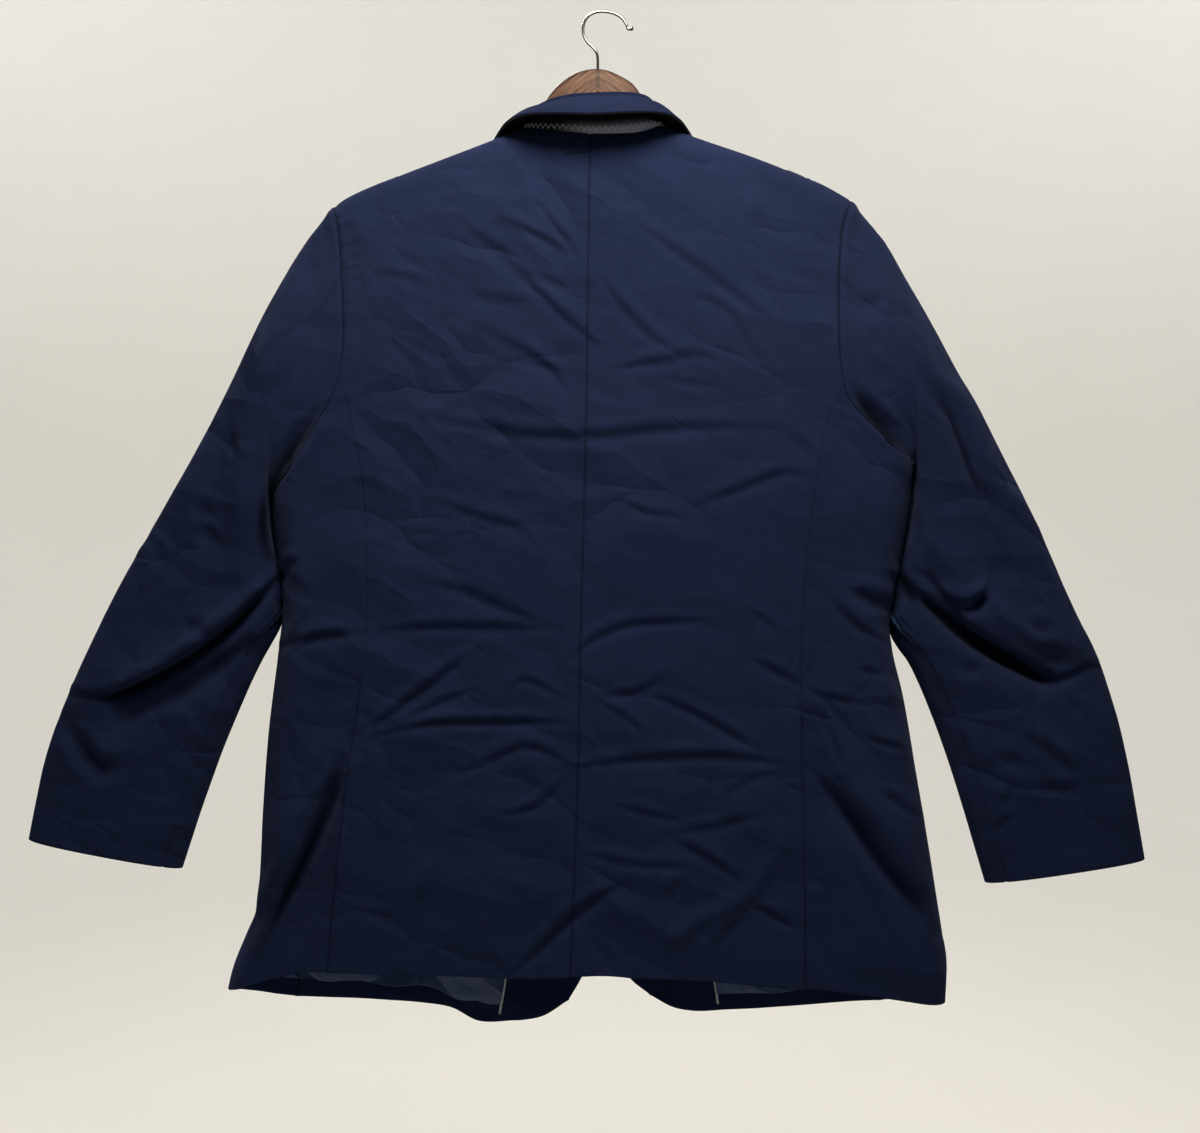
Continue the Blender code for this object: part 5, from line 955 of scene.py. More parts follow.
def side_grid(side):
    """The side body's grid, as turns round the body and heights."""
    across = np.linspace(0, 1, SIDE_COLUMNS + 1)
    top = np.stack(arm_turns(side, np.linspace(ARM_BACK_END, ARM_FRONT_START, SIDE_COLUMNS + 1)), axis=-1)
    seam_z = np.concatenate([[top[0, 1]], back_rows(side)[1]])
    seam_z[-1] = SIDE_HEM[side][0].z
    share = (seam_z - seam_z[0]) / (seam_z[-1] - seam_z[0])
    start_turn = turn_of(side, seam_out(BACK_SEAM[side], seam_z), seam_z, -1.0)
    start_turn[0] = top[0, 0]
    under = VENT_UNDERLAP * smooth((VENT_TOP[side] - seam_z) / SHORT_FADE)
    start = np.stack([start_turn - under, seam_z], axis=-1)
    front_z = between(top[-1, 1], FRONT_SEAM[side][-1].z, share)
    front_turn = turn_of(side, seam_out(FRONT_SEAM[side], front_z), front_z, 1.0)
    front_turn[0] = top[-1, 0]
    end = np.stack([front_turn, front_z], axis=-1)
    hem_turn = between(start[-1, 0], end[-1, 0], across)
    hem = np.stack([hem_turn, read(SIDE_HEM[side], "across", "z", across)], axis=-1)
    hem[0], hem[-1] = start[-1], end[-1]
    return coons(top, hem, start, end, across, share)


def side_surface(side, turn, z):
    """The side body's outer surface: it steps in under the back at the vent, and holds its folds."""
    points = round_body(side, turn, z)
    seam = turn_of(side, seam_out(BACK_SEAM[side], z), z, -1.0)
    beside = 1 - smooth((turn - seam - SHORT_FADE) / VENT_STEP_FADE)
    lead = smooth((VENT_TOP[side] + 2 * VENT_LEAD - z) / VENT_LEAD)
    behind = smooth((-turn - SIDE_FOLD_FROM) / SIDE_ROUND)
    clear = smooth((turn - seam) / SIDE_FOLD_FADE)
    lift = fold_lift("side_" + side, points) * behind * clear
    points[..., 1] += VENT_STEP * beside * lead - lift
    return points


def front_lap(side, out):
    """The wearer's left front lies over the right one where they cross."""
    over = 1 - smooth((np.abs(out) - LAP_REACH) / LAP_FADE)
    return -SIGN[side] * FRONT_LAP * over


def front_surface(side, out, z):
    points = flat_body(side, out, z, 1.0)
    points[..., 1] += front_lap(side, out) * smooth((LAP_TOP - z) / LAP_TOP_FADE)
    return points


def neck_line(stations):
    """The neck seam from the left gorge round the back to the right gorge."""
    reach = {}
    for side in SIDES:
        before = FRONT_EDGE[side][2::-1]
        behind = BACK_NECK[side][::-1][1:]
        reach[side] = np.concatenate([front_surface(side, column(before, "out"), column(before, "z")),
                                      flat_body(side, column(behind, "out"), column(behind, "z"), -1.0)])
    return curve(np.concatenate([reach["left"], reach["right"][::-1][1:]]), stations)


def collar_grid():
    """The collar's outer face: up the inside of the stand, over the roll and down the fall."""
    stations = np.linspace(0, 1, COLLAR_COLUMNS + 1)
    rise, lean, *edge = (read(COLLAR, "neck", name, stations)[:, None] for name in Collar._fields[1:])
    edge = np.concatenate(edge, axis=-1)
    neck = neck_line(stations)
    outwards = neck - np.array([CENTRE_TOP_X, NECK_CENTRE_Y, 0.0])
    outwards[:, 2] = 0.0
    in_front = smooth((np.abs(stations - 0.5) - COLLAR_BACK_HALF) / COLLAR_TO_FRONT)[:, None]
    sideways, ahead, up = np.eye(3)
    towards_middle = np.sign(CENTRE_TOP_X - neck[:, :1]) * sideways
    stack = unit(unit(outwards) * (1 - in_front) + ahead * in_front)
    apex = unit(up * (1 - in_front) + towards_middle * in_front)
    half = np.minimum(ROLL_RADIUS, FRONT_ROLL_RADIUS + (rise - LOW_ROLL) * ROLL_GROWTH)
    roll = neck + stack * (half - COLLAR_CLOTH + lean) + apex * (rise + COLLAR_SEAT)
    seat = between(COLLAR_SEAT, COLLAR_FRONT_SEAT, in_front)
    seam = neck - stack * (COLLAR_CLOTH - COLLAR_OVER_SEAM) + apex * seat
    stand_top = roll - stack * half - apex * half
    fall_top = roll + stack * half - apex * half
    apex_in = roll - stack * half * ROLL_SHOULDER - apex * half * ROLL_FLATNESS
    apex_out = roll + stack * half * ROLL_SHOULDER - apex * half * ROLL_FLATNESS
    fall_middle = (fall_top + edge) / 2 + (stack * 0.5 + up * (1 - in_front)) * FALL_BOW
    return np.stack([seam, (seam + stand_top) / 2, stand_top, apex_in, apex_out, fall_top, fall_middle, edge])


def sleeve_columns(side, kind, down):
    """A sleeve piece's columns, from seam to seam: ring angles at each row, and places round the armhole."""
    back = np.array(ARM_STEPS) * ARM_BACK_END
    across = np.linspace(ARM_BACK_END, ARM_FRONT_START, SIDE_COLUMNS + 1)
    front = (1.0 - np.array(ARM_STEPS) * (1.0 - ARM_FRONT_START))[::-1]
    if kind == "under":
        around = np.concatenate([back[HIND_STEP:], across[1:], front[1:2]])
    else:
        around = np.concatenate([front[1:], 1.0 + back[1:HIND_STEP + 1]])
    first = ring_angle(side, around)
    if kind == "top":
        first[len(front) - 2] = 2 * pi
    hind, fore = (seam_angle(read(SLEEVE_SEAMS, "down", name, down)) for name in ("hind", "fore"))
    begin, last = (hind, fore) if kind == "under" else (fore, hind + 2 * pi)
    settle = smooth(down / COLUMNS_SETTLE)[:, None]
    first_share = (first - first[0]) / (first[-1] - first[0])
    share = first_share[None] * (1 - settle) + np.linspace(0, 1, len(first))[None] * settle
    into = smooth(down / SEAMS_SETTLE)[:, None]
    begin = first[0] * (1 - into) + begin[:, None] * into
    last = first[-1] * (1 - into) + last[:, None] * into
    return begin + (last - begin) * share, around


def refined(values, rows, columns):
    """A grid of values at fractional rows and columns."""
    return np.swapaxes(along(np.swapaxes(along(values, rows), 0, 1), columns), 0, 1)


def places(spans, parts, near=NEAR_SEAM):
    """Fractional places over a number of spans, parts to a span and closer together by both ends."""
    even = np.linspace(0, spans, spans * parts + 1)
    near = np.array(near)
    return np.unique(np.round(np.concatenate([even, near, spans - near]), PLACE_DIGITS))


def fine(values, parts):
    """A grid divided finely both ways."""
    rows, columns = values.shape[:2]
    return refined(values, places(rows - 1, parts[0]), places(columns - 1, parts[1]))


def grid_normals(points, facing):
    """A grid's normals, on the side that faces the given way at its middle."""
    normals = unit(np.cross(np.gradient(points, axis=1), np.gradient(points, axis=0)))
    middle = normals[points.shape[0] // 2, points.shape[1] // 2]
    return normals * (1.0 if middle @ np.array(facing) >= 0 else -1.0)


def photo_place(points):
    """Where points lie in the photograph, in pixels across and down."""
    depth = points[..., 1] - EYE[1]
    scale = LENS / SENSOR * PHOTO_WIDTH / depth
    return (PHOTO_WIDTH / 2 + (points[..., 0] - EYE[0]) * scale,
            PHOTO_HEIGHT / 2 - (points[..., 2] - EYE[2]) * scale)


def hump(s, middle, width):
    return np.exp(-((s - middle) / width) ** 2)


def profile(kind, s):
    """A crease's height across it, for distances in half-widths, positive above it."""
    if kind == "ridge":
        return np.exp(-s ** 2)
    if kind == "pinch":
        return PINCH_RIM * hump(np.abs(s), *PINCH_RIM_PLACE) - np.exp(-s ** 2)
    return ROLL_RISE * hump(s, *ROLL_RISE_PLACE) - hump(s, *ROLL_DIP_PLACE)


def crease_height(drawn, across, down):
    """The drawn creases' height at places in the photograph, in metres."""
    height = np.zeros(across.shape)
    for crease in drawn:
        path = np.array(crease.path, float)
        room = CREASE_ROOM * crease.width
        low, high = path.min(axis=0) - room, path.max(axis=0) + room
        inside = (across > low[0]) & (across < high[0]) & (down > low[1]) & (down < high[1])
        if not inside.any():
            continue
        gap, place = from_path(across[inside], down[inside], path)
        taper = tapered(place, CREASE_TAPER)
        width = crease.width * (CREASE_END_WIDTH + (1 - CREASE_END_WIDTH) * taper)
        past = np.clip(np.abs(gap) / width, 0, CREASE_ROOM)
        shape = profile(crease.kind, np.sign(gap) * past)
        strength = CREASE_END_DEPTH + (1 - CREASE_END_DEPTH) * taper
        height[inside] += crease.depth * CREASE_UNIT * strength * shape * smooth(CREASE_ROOM - past)
    return height


def swell(across, down):
    """The slow unevenness of hung cloth, in metres."""
    waves = sum(share * np.sin((across * run_x + down * run_y) / SWELL_LENGTH + phase)
                for run_x, run_y, phase, share in SWELLS)
    return SWELL * waves / 2


def from_armhole(side, points):
    """Distance from the armhole's line, in pixels of the photograph."""
    across, down = photo_place(points)
    reach = np.full(across.shape, FAR)
    for x, y in zip(*photo_place(arm_line(side, np.linspace(0, 1, ARM_LINE_SAMPLES)))):
        reach = np.minimum(reach, np.hypot(across - x, down - y))
    return reach


def lift_of(side, points, normals):
    """How far creases lift the body's or a sleeve's cloth, behind and in front."""
    across, down = photo_place(points)
    behind = smooth((FACE_EDGE - normals[..., 1]) / FACE_FADE)
    before = smooth((FACE_EDGE + normals[..., 1]) / FACE_FADE)
    height = crease_height(CREASES_BEHIND, across, down) * behind
    height += crease_height(CREASES_BEFORE, across, down) * before
    height += swell(across, down) * (behind - FRONT_SWELL * before)
    return height * smooth(from_armhole(side, points) / ARM_CALM)


def tucked_shade(points, normals):
    """The painted shade where the cloth is tucked in beside a seam, from the shadow rows."""
    return -crease_height(SHADOWS, *photo_place(points)) / CREASE_UNIT * smooth(-normals[..., 1] / FACE_FADE)


def beside_body(side, points, normals):
    """How far a sleeve's cloth is drawn in to lie on the body below the armhole, in metres."""
    drawn = DRAWN_IN[side]
    inward = smooth((-normals[..., 0] * SIGN[side] - INWARD_FROM) / INWARD_FADE)
    return drawn.reach * inward * np.exp(-((points[..., 2] - drawn.z) / drawn.fade) ** 2)


def from_edge(points, edge):
    """Each point's distance from a grid's named edge."""
    line = {"start": points[:, :1], "end": points[:, -1:], "top": points[:1], "bottom": points[-1:]}[edge]
    return np.linalg.norm(points - line, axis=-1)


def seam_depth(points, edges, width):
    """How deep each point lies in grooves of a width along the named edges, from 0 to 1."""
    depth = np.zeros(points.shape[:2])
    for edge in edges:
        depth = np.maximum(depth, np.exp(-(from_edge(points, edge) / width) ** 2))
    return depth


def steps_of(points, axis):
    return np.linalg.norm(np.diff(points, axis=axis), axis=-1)


def hem_rows(points):
    """How many of a grid's last rows lie within the turned hem."""
    heights = points[..., 2].mean(axis=1)
    return int((heights < heights[-1] + HEM_TURN).sum())


def placed(name, data):
    """A new object in the scene."""
    made = bpy.data.objects.new(name, data)
    bpy.context.scene.collection.objects.link(made)
    return made


def stand_for(piece, node_name):
    """A piece in place of a node of the pack: the node is hidden and the piece rides on the root."""
    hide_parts(node_name)
    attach(piece, "root")


def new_mesh(name, vertices, faces, turn_out=False):
    """A smooth-shaded mesh, with its faces turned outwards where that is asked for."""
    mesh = bpy.data.meshes.new(name)
    mesh.from_pydata(vertices, [], faces)
    if turn_out:
        form = bmesh.new()
        form.from_mesh(mesh)
        bmesh.ops.recalc_face_normals(form, faces=form.faces)
        form.to_mesh(mesh)
        form.free()
    mesh.shade_smooth()
    return mesh


def shell(name, points, normals, thickness, outer, seams, lined_rows, shade):
    """A thin closed shell: the outer grid, the same set back, and a rim, rounded where it isn't a seam."""
    rows, columns = points.shape[:2]
    size = rows * columns
    inside = points - normals * thickness
    index = np.arange(size).reshape(rows, columns)
    edges = {"top": [(0, j) for j in range(columns)], "end": [(i, columns - 1) for i in range(rows)],
             "bottom": [(rows - 1, j) for j in reversed(range(columns))],
             "start": [(i, 0) for i in reversed(range(rows))]}
    loop, rim = [], []
    for edge, line in edges.items():
        for i, j in line[:-1]:
            away = points[i, j] - points[min(max(i, 1), rows - 2), min(max(j, 1), columns - 2)]
            away = away - normals[i, j] * (away @ normals[i, j])
            away = away / max(np.linalg.norm(away), TINY_STEP)
            bulge = 0.0 if edge in seams else thickness * RIM_BULGE
            loop.append(index[i, j])
            rim.append((points[i, j] + inside[i, j]) / 2 + away * bulge)
    vertices = np.concatenate([points.reshape(-1, 3), inside.reshape(-1, 3), np.array(rim)])
    quads = np.stack([index[:-1, :-1], index[1:, :-1], index[1:, 1:], index[:-1, 1:]], axis=-1).reshape(-1, 4)
    this, following = np.array(loop), np.roll(loop, -1)
    middle = 2 * size + np.arange(len(loop))
    middle_next = np.roll(middle, -1)
    rim_out = np.stack([this, following, middle_next, middle], axis=-1)
    rim_in = np.stack([middle, middle_next, following + size, this + size], axis=-1)
    faces = np.concatenate([quads, quads[:, ::-1] + size, rim_out, rim_in])
    mesh = new_mesh(name, vertices.tolist(), faces.tolist(), turn_out=True)
    mesh.materials.append(outer)
    if lined_rows is not None:
        mesh.materials.append(satin)
        slots = np.zeros(len(faces), int)
        row_of_quad = np.repeat(np.arange(rows - 1), columns - 1)
        slots[len(quads):2 * len(quads)] = np.where(row_of_quad < lined_rows, 1, 0)
        mesh.polygons.foreach_set("material_index", slots)
    mesh.set_sharp_from_angle(angle=radians(CLOTH_SHARP))
    u, v = np.meshgrid(*[np.concatenate([[0], np.cumsum(steps_of(points, axis).mean(axis=1 - axis))])
                         for axis in (1, 0)])
    flat = np.stack([u, v], axis=-1).reshape(-1, 2)
    flat = np.concatenate([flat, flat, flat[this]])
    corners = np.zeros(len(mesh.loops), int)
    mesh.loops.foreach_get("vertex_index", corners)
    mesh.uv_layers.new(name="cloth").data.foreach_set("uv", flat[corners].astype(np.float32).reshape(-1))
    # The painted shade goes to the material as the shade attribute
    shade = shade.reshape(-1)
    all_shade = np.concatenate([shade, shade, shade[this]])
    mesh.attributes.new("shade", "FLOAT", "POINT").data.foreach_set("value", all_shade.astype(np.float32))
    return placed(name, mesh)


def cloth(node_name, points, normals, lift, thickness, slot="navy_wool", lined=False, seams=(), shallow=(),
          shade=None):
    """A sheet of cloth in place of a solid: its flat grid is lifted by its creases."""
    deep = [edge for edge in seams if edge not in shallow]

    def by_seams(reach):
        return np.maximum(seam_depth(points, deep, reach), SHALLOW * seam_depth(points, shallow, reach))

    shaped = points + normals * (lift - SEAM_GROOVE * by_seams(SEAM_GROOVE_WIDTH))[..., None]
    # Painted shade: a line along the seams, deep valleys darker, and painted shadows beside the armhole on
    # sleeves
    if shade is None:
        shade = SEAM_SHADE * by_seams(SEAM_SHADE_WIDTH)
        shade = np.maximum(shade, VALLEY_SHADE * smooth((-lift - VALLEY_FROM) / VALLEY_FADE))
        if node_name.startswith("sleeve"):
            shade = np.maximum(shade, tucked_shade(points, normals))
    facing = normals[points.shape[0] // 2, points.shape[1] // 2]
    lined_rows = len(points) - 1 - hem_rows(points) if lined else None
    piece = shell("cloth_" + node_name, shaped, grid_normals(shaped, facing), thickness, CLOTHS[slot], seams,
                  lined_rows, shade)
    stand_for(piece, node_name)


def outer_line(side, around, seam, heights):
    """A grid's outer edge, as out and z: its part of the armhole, then the seam below."""
    arm = arm_line(side, around)
    return np.concatenate([np.stack([arm[:, 0] * SIGN[side], arm[:, 2]], axis=-1),
                           np.stack([seam_out(seam, heights), heights], axis=-1)])


def back_places(side):
    """The back's grid, as out and z, on the solid's lines."""
    arm, heights = back_rows(side)
    outer = outer_line(side, arm, BACK_SEAM[side], heights)
    down = shares_of(outer)
    centre_z = between(CENTRE_BACK[0].z, CENTRE_BACK[-1].z, down)
    centre = np.stack([SIGN[side] * seam_out(CENTRE_BACK, centre_z), centre_z], axis=-1)
    neck = curve(BACK_NECK[side], np.linspace(0, 1, NECK_COLUMNS + 1))
    shoulder_out = np.linspace(neck[-1, 0], outer[0, 0], BACK_COLUMNS - NECK_COLUMNS + 1)[1:]
    shoulder = np.stack([shoulder_out, ridge_z(side, shoulder_out)], axis=-1)
    shoulder[-1] = outer[0]
    top = np.concatenate([neck, shoulder])
    top[0] = centre[0]
    top[:, 1] += NECK_RAISE * (1 - smooth(np.arange(len(top)) / NECK_COLUMNS))
    centre[0] = top[0]
    across = shares_of(top)
    hem = curve(BACK_HEM[side], across)
    hem[0], hem[-1] = centre[-1], outer[-1]
    grid = coons(top, hem, centre, outer, across, down)
    grid[:, 0] = centre
    return grid


def front_places(side):
    """The front's grid, as out and z, on the solid's lines."""
    arm = 1.0 - np.array(ARM_STEPS) * (1.0 - ARM_FRONT_START)
    outer = outer_line(side, arm, FRONT_SEAM[side], side_grid(side)[1:, -1, 1])
    down = shares_of(outer)
    inner = curve(FRONT_EDGE[side], down)
    top_out = np.linspace(inner[0, 0], outer[0, 0], FRONT_COLUMNS + 1)
    top = np.stack([top_out, ridge_z(side, top_out)], axis=-1)
    top[0], top[-1] = inner[0], outer[0]
    across = np.linspace(0, 1, FRONT_COLUMNS + 1)
    hem = curve(FRONT_HEM[side], across)
    hem[0], hem[-1] = inner[-1], outer[-1]
    return coons(top, hem, inner, outer, across, down)


def on_front(side, grid):
    """A front's points, normals and creases at a grid of out and z."""
    points = front_surface(side, grid[..., 0], grid[..., 1])
    normals = grid_normals(points, (0, 1, 0))
    return points, normals, lift_of(side, points, normals)


def dress_body(side):
    back = fine(back_places(side), BACK_PARTS)
    flank = fine(side_grid(side), SIDE_PARTS)
    front = fine(front_places(side), FRONT_PARTS)
    for kind, points, facing, seams in (
            ("back_", flat_body(side, back[..., 0], back[..., 1], -1.0), (0, -1, 0), ("start", "end")),
            ("side_", side_surface(side, flank[..., 0], flank[..., 1]), (SIGN[side], 0, 0), ("end", "top")),
            ("front_", front_surface(side, front[..., 0], front[..., 1]), (0, 1, 0), ("end",))):
        normals = grid_normals(points, facing)
        cloth(kind + side, points, normals, lift_of(side, points, normals), CLOTH, lined=True, seams=seams)


def dress_front(side):
    """The lapel over the front, the facing under it, and the piping along the facing."""
    down = np.linspace(0, 1, FRONT_STRIP_ROWS)
    across = np.linspace(0, 1, FRONT_STRIP_COLUMNS)
    top = curve(LAPEL_TOP[side], across)
    roll_z = between(top[0, 1], LAPEL_EDGE[side][-1].z, down)
    roll = np.stack([seam_out(FRONT_EDGE[side], roll_z) + LAPEL_INSET, roll_z], axis=-1)
    edge = curve(LAPEL_EDGE[side], down)
    bottom = between(roll[-1], edge[-1], across[:, None])
    roll[0] = top[0]
    points, normals, lift = on_front(side, fine(coons(top, bottom, roll, edge, across, down), LAPEL_PARTS))
    cloth("lapel_" + side, points + normals * (LAPEL_GAP + LAPEL), normals, lift, LAPEL)

    rows = [row for row in FRONT_EDGE[side] if row.z < FACING_TOP]
    first = Edge(float(seam_out(FRONT_EDGE[side], FACING_TOP)), FACING_TOP)
    edge = curve([first, *rows], down) + np.array([FACING_INSET, 0.0])
    rim = curve(FACING_EDGE[side], down)
    hem_out = between(edge[-1, 0], rim[-1, 0], across)
    hem = np.stack([hem_out, read(FRONT_HEM[side], "out", "z", hem_out) + FACING_INSET], axis=-1)
    edge[-1], rim[-1] = hem[0], hem[-1]
    top = between(edge[0], rim[0], across[:, None])
    points, normals, lift = on_front(side, fine(coons(top, hem, edge, rim, across, down), FACING_PARTS))
    cloth("facing_" + side, points - normals * (CLOTH + LAYER_GAP), normals, lift, FACING)

    fractions = np.linspace(0, 1, PIPING_POINTS)
    rim = curve(FACING_EDGE[side], fractions)
    rim[:, 0] += PIPING_RADIUS + SEAM
    rim[:, 1] += PIPING_END_RISE * smooth((fractions - PIPING_END_FROM) / PIPING_END_WIDTH)
    strip = np.stack([rim, rim + np.array([PIPING_STRIP, 0.0])], axis=1)
    points, normals, lift = on_front(side, strip)
    line = (points + normals * (lift - CLOTH - LAYER_GAP - PIPING_RADIUS)[..., None])[:, 0]
    piece = thread("piping_line_" + side, line, PIPING_RADIUS, piping)
    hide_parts("piping_" + side)


def dress_lining(side):
    down = np.linspace(0, 1, LINING_ROWS)
    across = np.linspace(0, 1, LINING_COLUMNS)
    rows = FACING_EDGE[side]
    bottom_z = rows[-1].z + HEM_TURN
    start_z = between(LINING_TOP, bottom_z, down)
    start_out = seam_out(rows, start_z) + (2 * PIPING_RADIUS + 2 * SEAM)
    start = np.stack([turn_of(side, start_out, start_z, 1.0), start_z], axis=-1)
    side_z = SIDE_HEM[side][-3].z + HEM_TURN
    end_z = between(LINING_TOP, side_z, down)
    end = np.stack([np.full(end_z.shape, -LINING_REACH), end_z], axis=-1)
    top = between(start[0], end[0], across[:, None])
    bottom_turn = between(start[-1, 0], end[-1, 0], across)
    place = round_body(side, bottom_turn, np.full(across.shape, bottom_z))[:, 0] * SIGN[side]
    front_hem = read(FRONT_HEM[side], "out", "z", place) + HEM_TURN
    towards_side = smooth((across - LINING_SIDE_FROM) / LINING_SIDE_WIDTH)
    bottom = np.stack([bottom_turn, front_hem * (1 - towards_side) + side_z * towards_side], axis=-1)
    bottom[0], bottom[-1] = start[-1], end[-1]
    grid = fine(coons(top, bottom, start, end, across, down), LINING_PARTS)
    turn, z = grid[..., 0], grid[..., 1]
    low = smooth((np.arange(len(grid)) / (len(grid) - 1) - LINING_LOW_FROM) / LINING_LOW_WIDTH)[:, None]
    waves = sum(share * np.sin(turn * rate + phase) for rate, phase, share in LINING_WAVES)
    z = z + low * LINING_WAVE * waves * LINING_WAVE_SHARE
    points = round_body(side, turn, z)
    fade = smooth((LAP_TOP - z) / LAP_TOP_FADE)
    points[..., 1] += front_lap(side, points[..., 0] * SIGN[side]) * fade * (turn > 0)
    normals = grid_normals(points, (0, 1, 0))
    round_side = 1 - smooth((turn - SIDE_ROUND) / SIDE_ROUND)
    drop = CLOTH + LINING_DROP + (LINING_SIDE_DROP - LINING_DROP) * round_side
    ripple = LINING_RIPPLE * low * np.sin(turn * LINING_RIPPLE_RUN[0] + z * LINING_RIPPLE_RUN[1])
    lift = lift_of(side, points, normals) - np.abs(ripple)
    cloth("lining_" + side, points - normals * drop[..., None], normals, lift, LINING, "lining_satin")


def sleeve_points(side):
    """Both sleeve pieces' points together, divided finely, and the column where the top sleeve starts."""
    down = np.array(SLEEVE_ROWS)
    under, under_around = sleeve_columns(side, "under", down)
    top, top_around = sleeve_columns(side, "top", down)
    angle = np.concatenate([under[:, :-1], top[:, :-1]], axis=1)
    around = np.concatenate([under_around[:-1], top_around[:-1]])
    rows = np.repeat(down[:, None], angle.shape[1], axis=1)
    points = sleeve(side, angle, rows)
    points[0] = arm_line(side, np.where(around > 1.0, around - 1.0, around))
    count = angle.shape[1]
    parts = SLEEVE_PARTS[1]
    columns = np.arange(count, 2 * count + SLACK, 1 / parts)
    lapped = np.concatenate([points, points, points], axis=1)
    whole = refined(lapped, places(len(down) - 1, SLEEVE_PARTS[0], SLEEVE_NEAR_SEAM), columns)
    return whole, (under.shape[1] - 1) * parts


def dress_sleeve(side):
    whole, split = sleeve_points(side)
    closed = np.concatenate([whole[:, -2:-1], whole, whole[:, 1:2]], axis=1)
    normals = grid_normals(closed, (0, 0, 0))[:, 1:-1]
    normals = normals * (-1.0 if normals[-2, whole.shape[1] // 4, 1] > 0 else 1.0)
    for kind, part in (("under", slice(split + 1)), ("top", slice(split, None))):
        points, turned = whole[:, part], normals[:, part]
        points[..., 0] -= SIGN[side] * beside_body(side, points, turned)
        head = SLEEVE_HEAD * np.exp(-((from_edge(points, "top") - SLEEVE_HEAD_FROM) / SLEEVE_HEAD_WIDTH) ** 2)
        head *= smooth((points[..., 2] - SLEEVE_HEAD_END) / SLEEVE_HEAD_FADE)
        cloth("sleeve_%s_%s" % (kind, side), points, turned, lift_of(side, points, turned) + head, CLOTH,
              lined=True, seams=("start", "end", "top"), shallow=("start", "end"))


def dress_collar():
    """The top collar, the undercollar on its inner side, and the undercollar's zigzag stitch."""
    grid = collar_grid()
    rows = places(grid.shape[0] - 1, COLLAR_PARTS[0])
    columns = places(grid.shape[1] - 1, COLLAR_PARTS[1])
    points = refined(grid, rows, columns)
    points[0] += unit(points[0] - points[1]) * COLLAR_UNDERLAP
    points[..., 1] += COLLAR_TUCK * (1 - smooth(rows / COLLAR_TUCK_ROWS))[:, None]
    normals = grid_normals(points, (0, 0, 1))
    normals = normals * (1.0 if normals[len(rows) // 2, len(columns) // 2, 2] > 0 else -1.0)
    calm = np.zeros(points.shape[:2])
    # The top collar is painted darker all over: painted shade
    cloth("collar", points, normals, calm, COLLAR_CLOTH,
          shade=calm + COLLAR_SHADE)
    under = points - normals * (COLLAR_CLOTH + SEAM)
    row = rows[:, None]
    # Painted shade in the undercollar's fold, left out where the stand is lit
    lit = smooth((under[..., 0] - FOLD_LIT_FROM) / FOLD_LIT_WIDTH) * smooth((FOLD_LIT - row) / FOLD_LIT_FADE)
    painted_fold_shade = (1 - lit) * smooth((rows[-1] + FOLD_OUTER_REST - row) / FOLD_OUTER_FADE)
    cloth("undercollar", under, normals, calm, MELTON, "melton",
          shade=painted_fold_shade)
    stand = np.searchsorted(rows, ZIGZAG_ROW)
    stretch = slice(int(len(columns) * ZIGZAG_ENDS[0]), int(len(columns) * ZIGZAG_ENDS[1]))
    middle = (under - normals * (MELTON + THREAD))[stand, stretch]
    upwards = unit(points[stand + 2, stretch] - points[stand - 2, stretch])
    length = np.linalg.norm(np.diff(middle, axis=0), axis=1).sum()
    count = int(length / ZIGZAG_PITCH) * 2
    at = np.linspace(0, len(middle) - 1, count)
    rise = np.where(np.arange(count) % 2, 1, -1) * ZIGZAG_HEIGHT
    line = along(middle, at) + along(upwards, at) * rise[:, None]
    thread("stitch_zigzag", line, THREAD, stitch)


def thread(name, line, radius, material, roundness=2):
    """A round thread or wire along a line of points."""
    path = bpy.data.curves.new(name, "CURVE")
    path.dimensions = "3D"
    path.bevel_depth = radius
    path.bevel_resolution = roundness
    path.use_fill_caps = True
    spline = path.splines.new("POLY")
    spline.points.add(len(line) - 1)
    for point, place in zip(spline.points, line):
        point.co = (*place, 1.0)
    path.materials.append(material)
    drawn = bpy.data.objects.new(name + "_path", path)
    mesh = bpy.data.meshes.new_from_object(drawn)
    bpy.data.objects.remove(drawn)
    bpy.data.curves.remove(path)
    mesh.shade_smooth()
    piece = placed(name, mesh)
    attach(piece, "root")
    return piece


def back_stitches():
    """The short level row of stitches beside the centre-back seam."""
    for number, (start, end) in enumerate(BACK_STITCHES, 1):
        x = np.linspace(start, end, BACK_STITCH_POINTS)
        line = np.stack([x, np.zeros(len(x)), np.full(len(x), BACK_STITCH_Z)], axis=-1)
        line[:, 1] = flat_body("left", x * SIGN["left"], line[:, 2], -1.0)[:, 1] - THREAD
        thread("stitch_back_%d" % number, line, THREAD, dark_stitch)


def dress_patch(name, side, patch):
    across = np.linspace(0, 1, PATCH_COLUMNS + 1)[None, :]
    down = np.linspace(0, 1, PATCH_ROWS + 1)[:, None]
    out = between(patch.out_in, patch.out_away, across) + 0.0 * down
    z = between(patch.z_in, patch.z_away, across) - patch.height * down
    points, normals, lift = on_front(side, fine(np.stack([out, z], axis=-1), PATCH_PARTS))
    cloth(name, points + normals * (LAYER_GAP + CLOTH), normals, lift, CLOTH)


def circle(turns):
    return [(cos(2 * pi * k / turns), sin(2 * pi * k / turns)) for k in range(turns)]


def ring_faces(rings, turns):
    """The faces between rings of points, one ring to the next."""
    faces = []
    for first in range(0, (rings - 1) * turns, turns):
        for k in range(turns):
            a, b = first + k, first + (k + 1) % turns
            faces.append((a, b, b + turns, a + turns))
    return faces


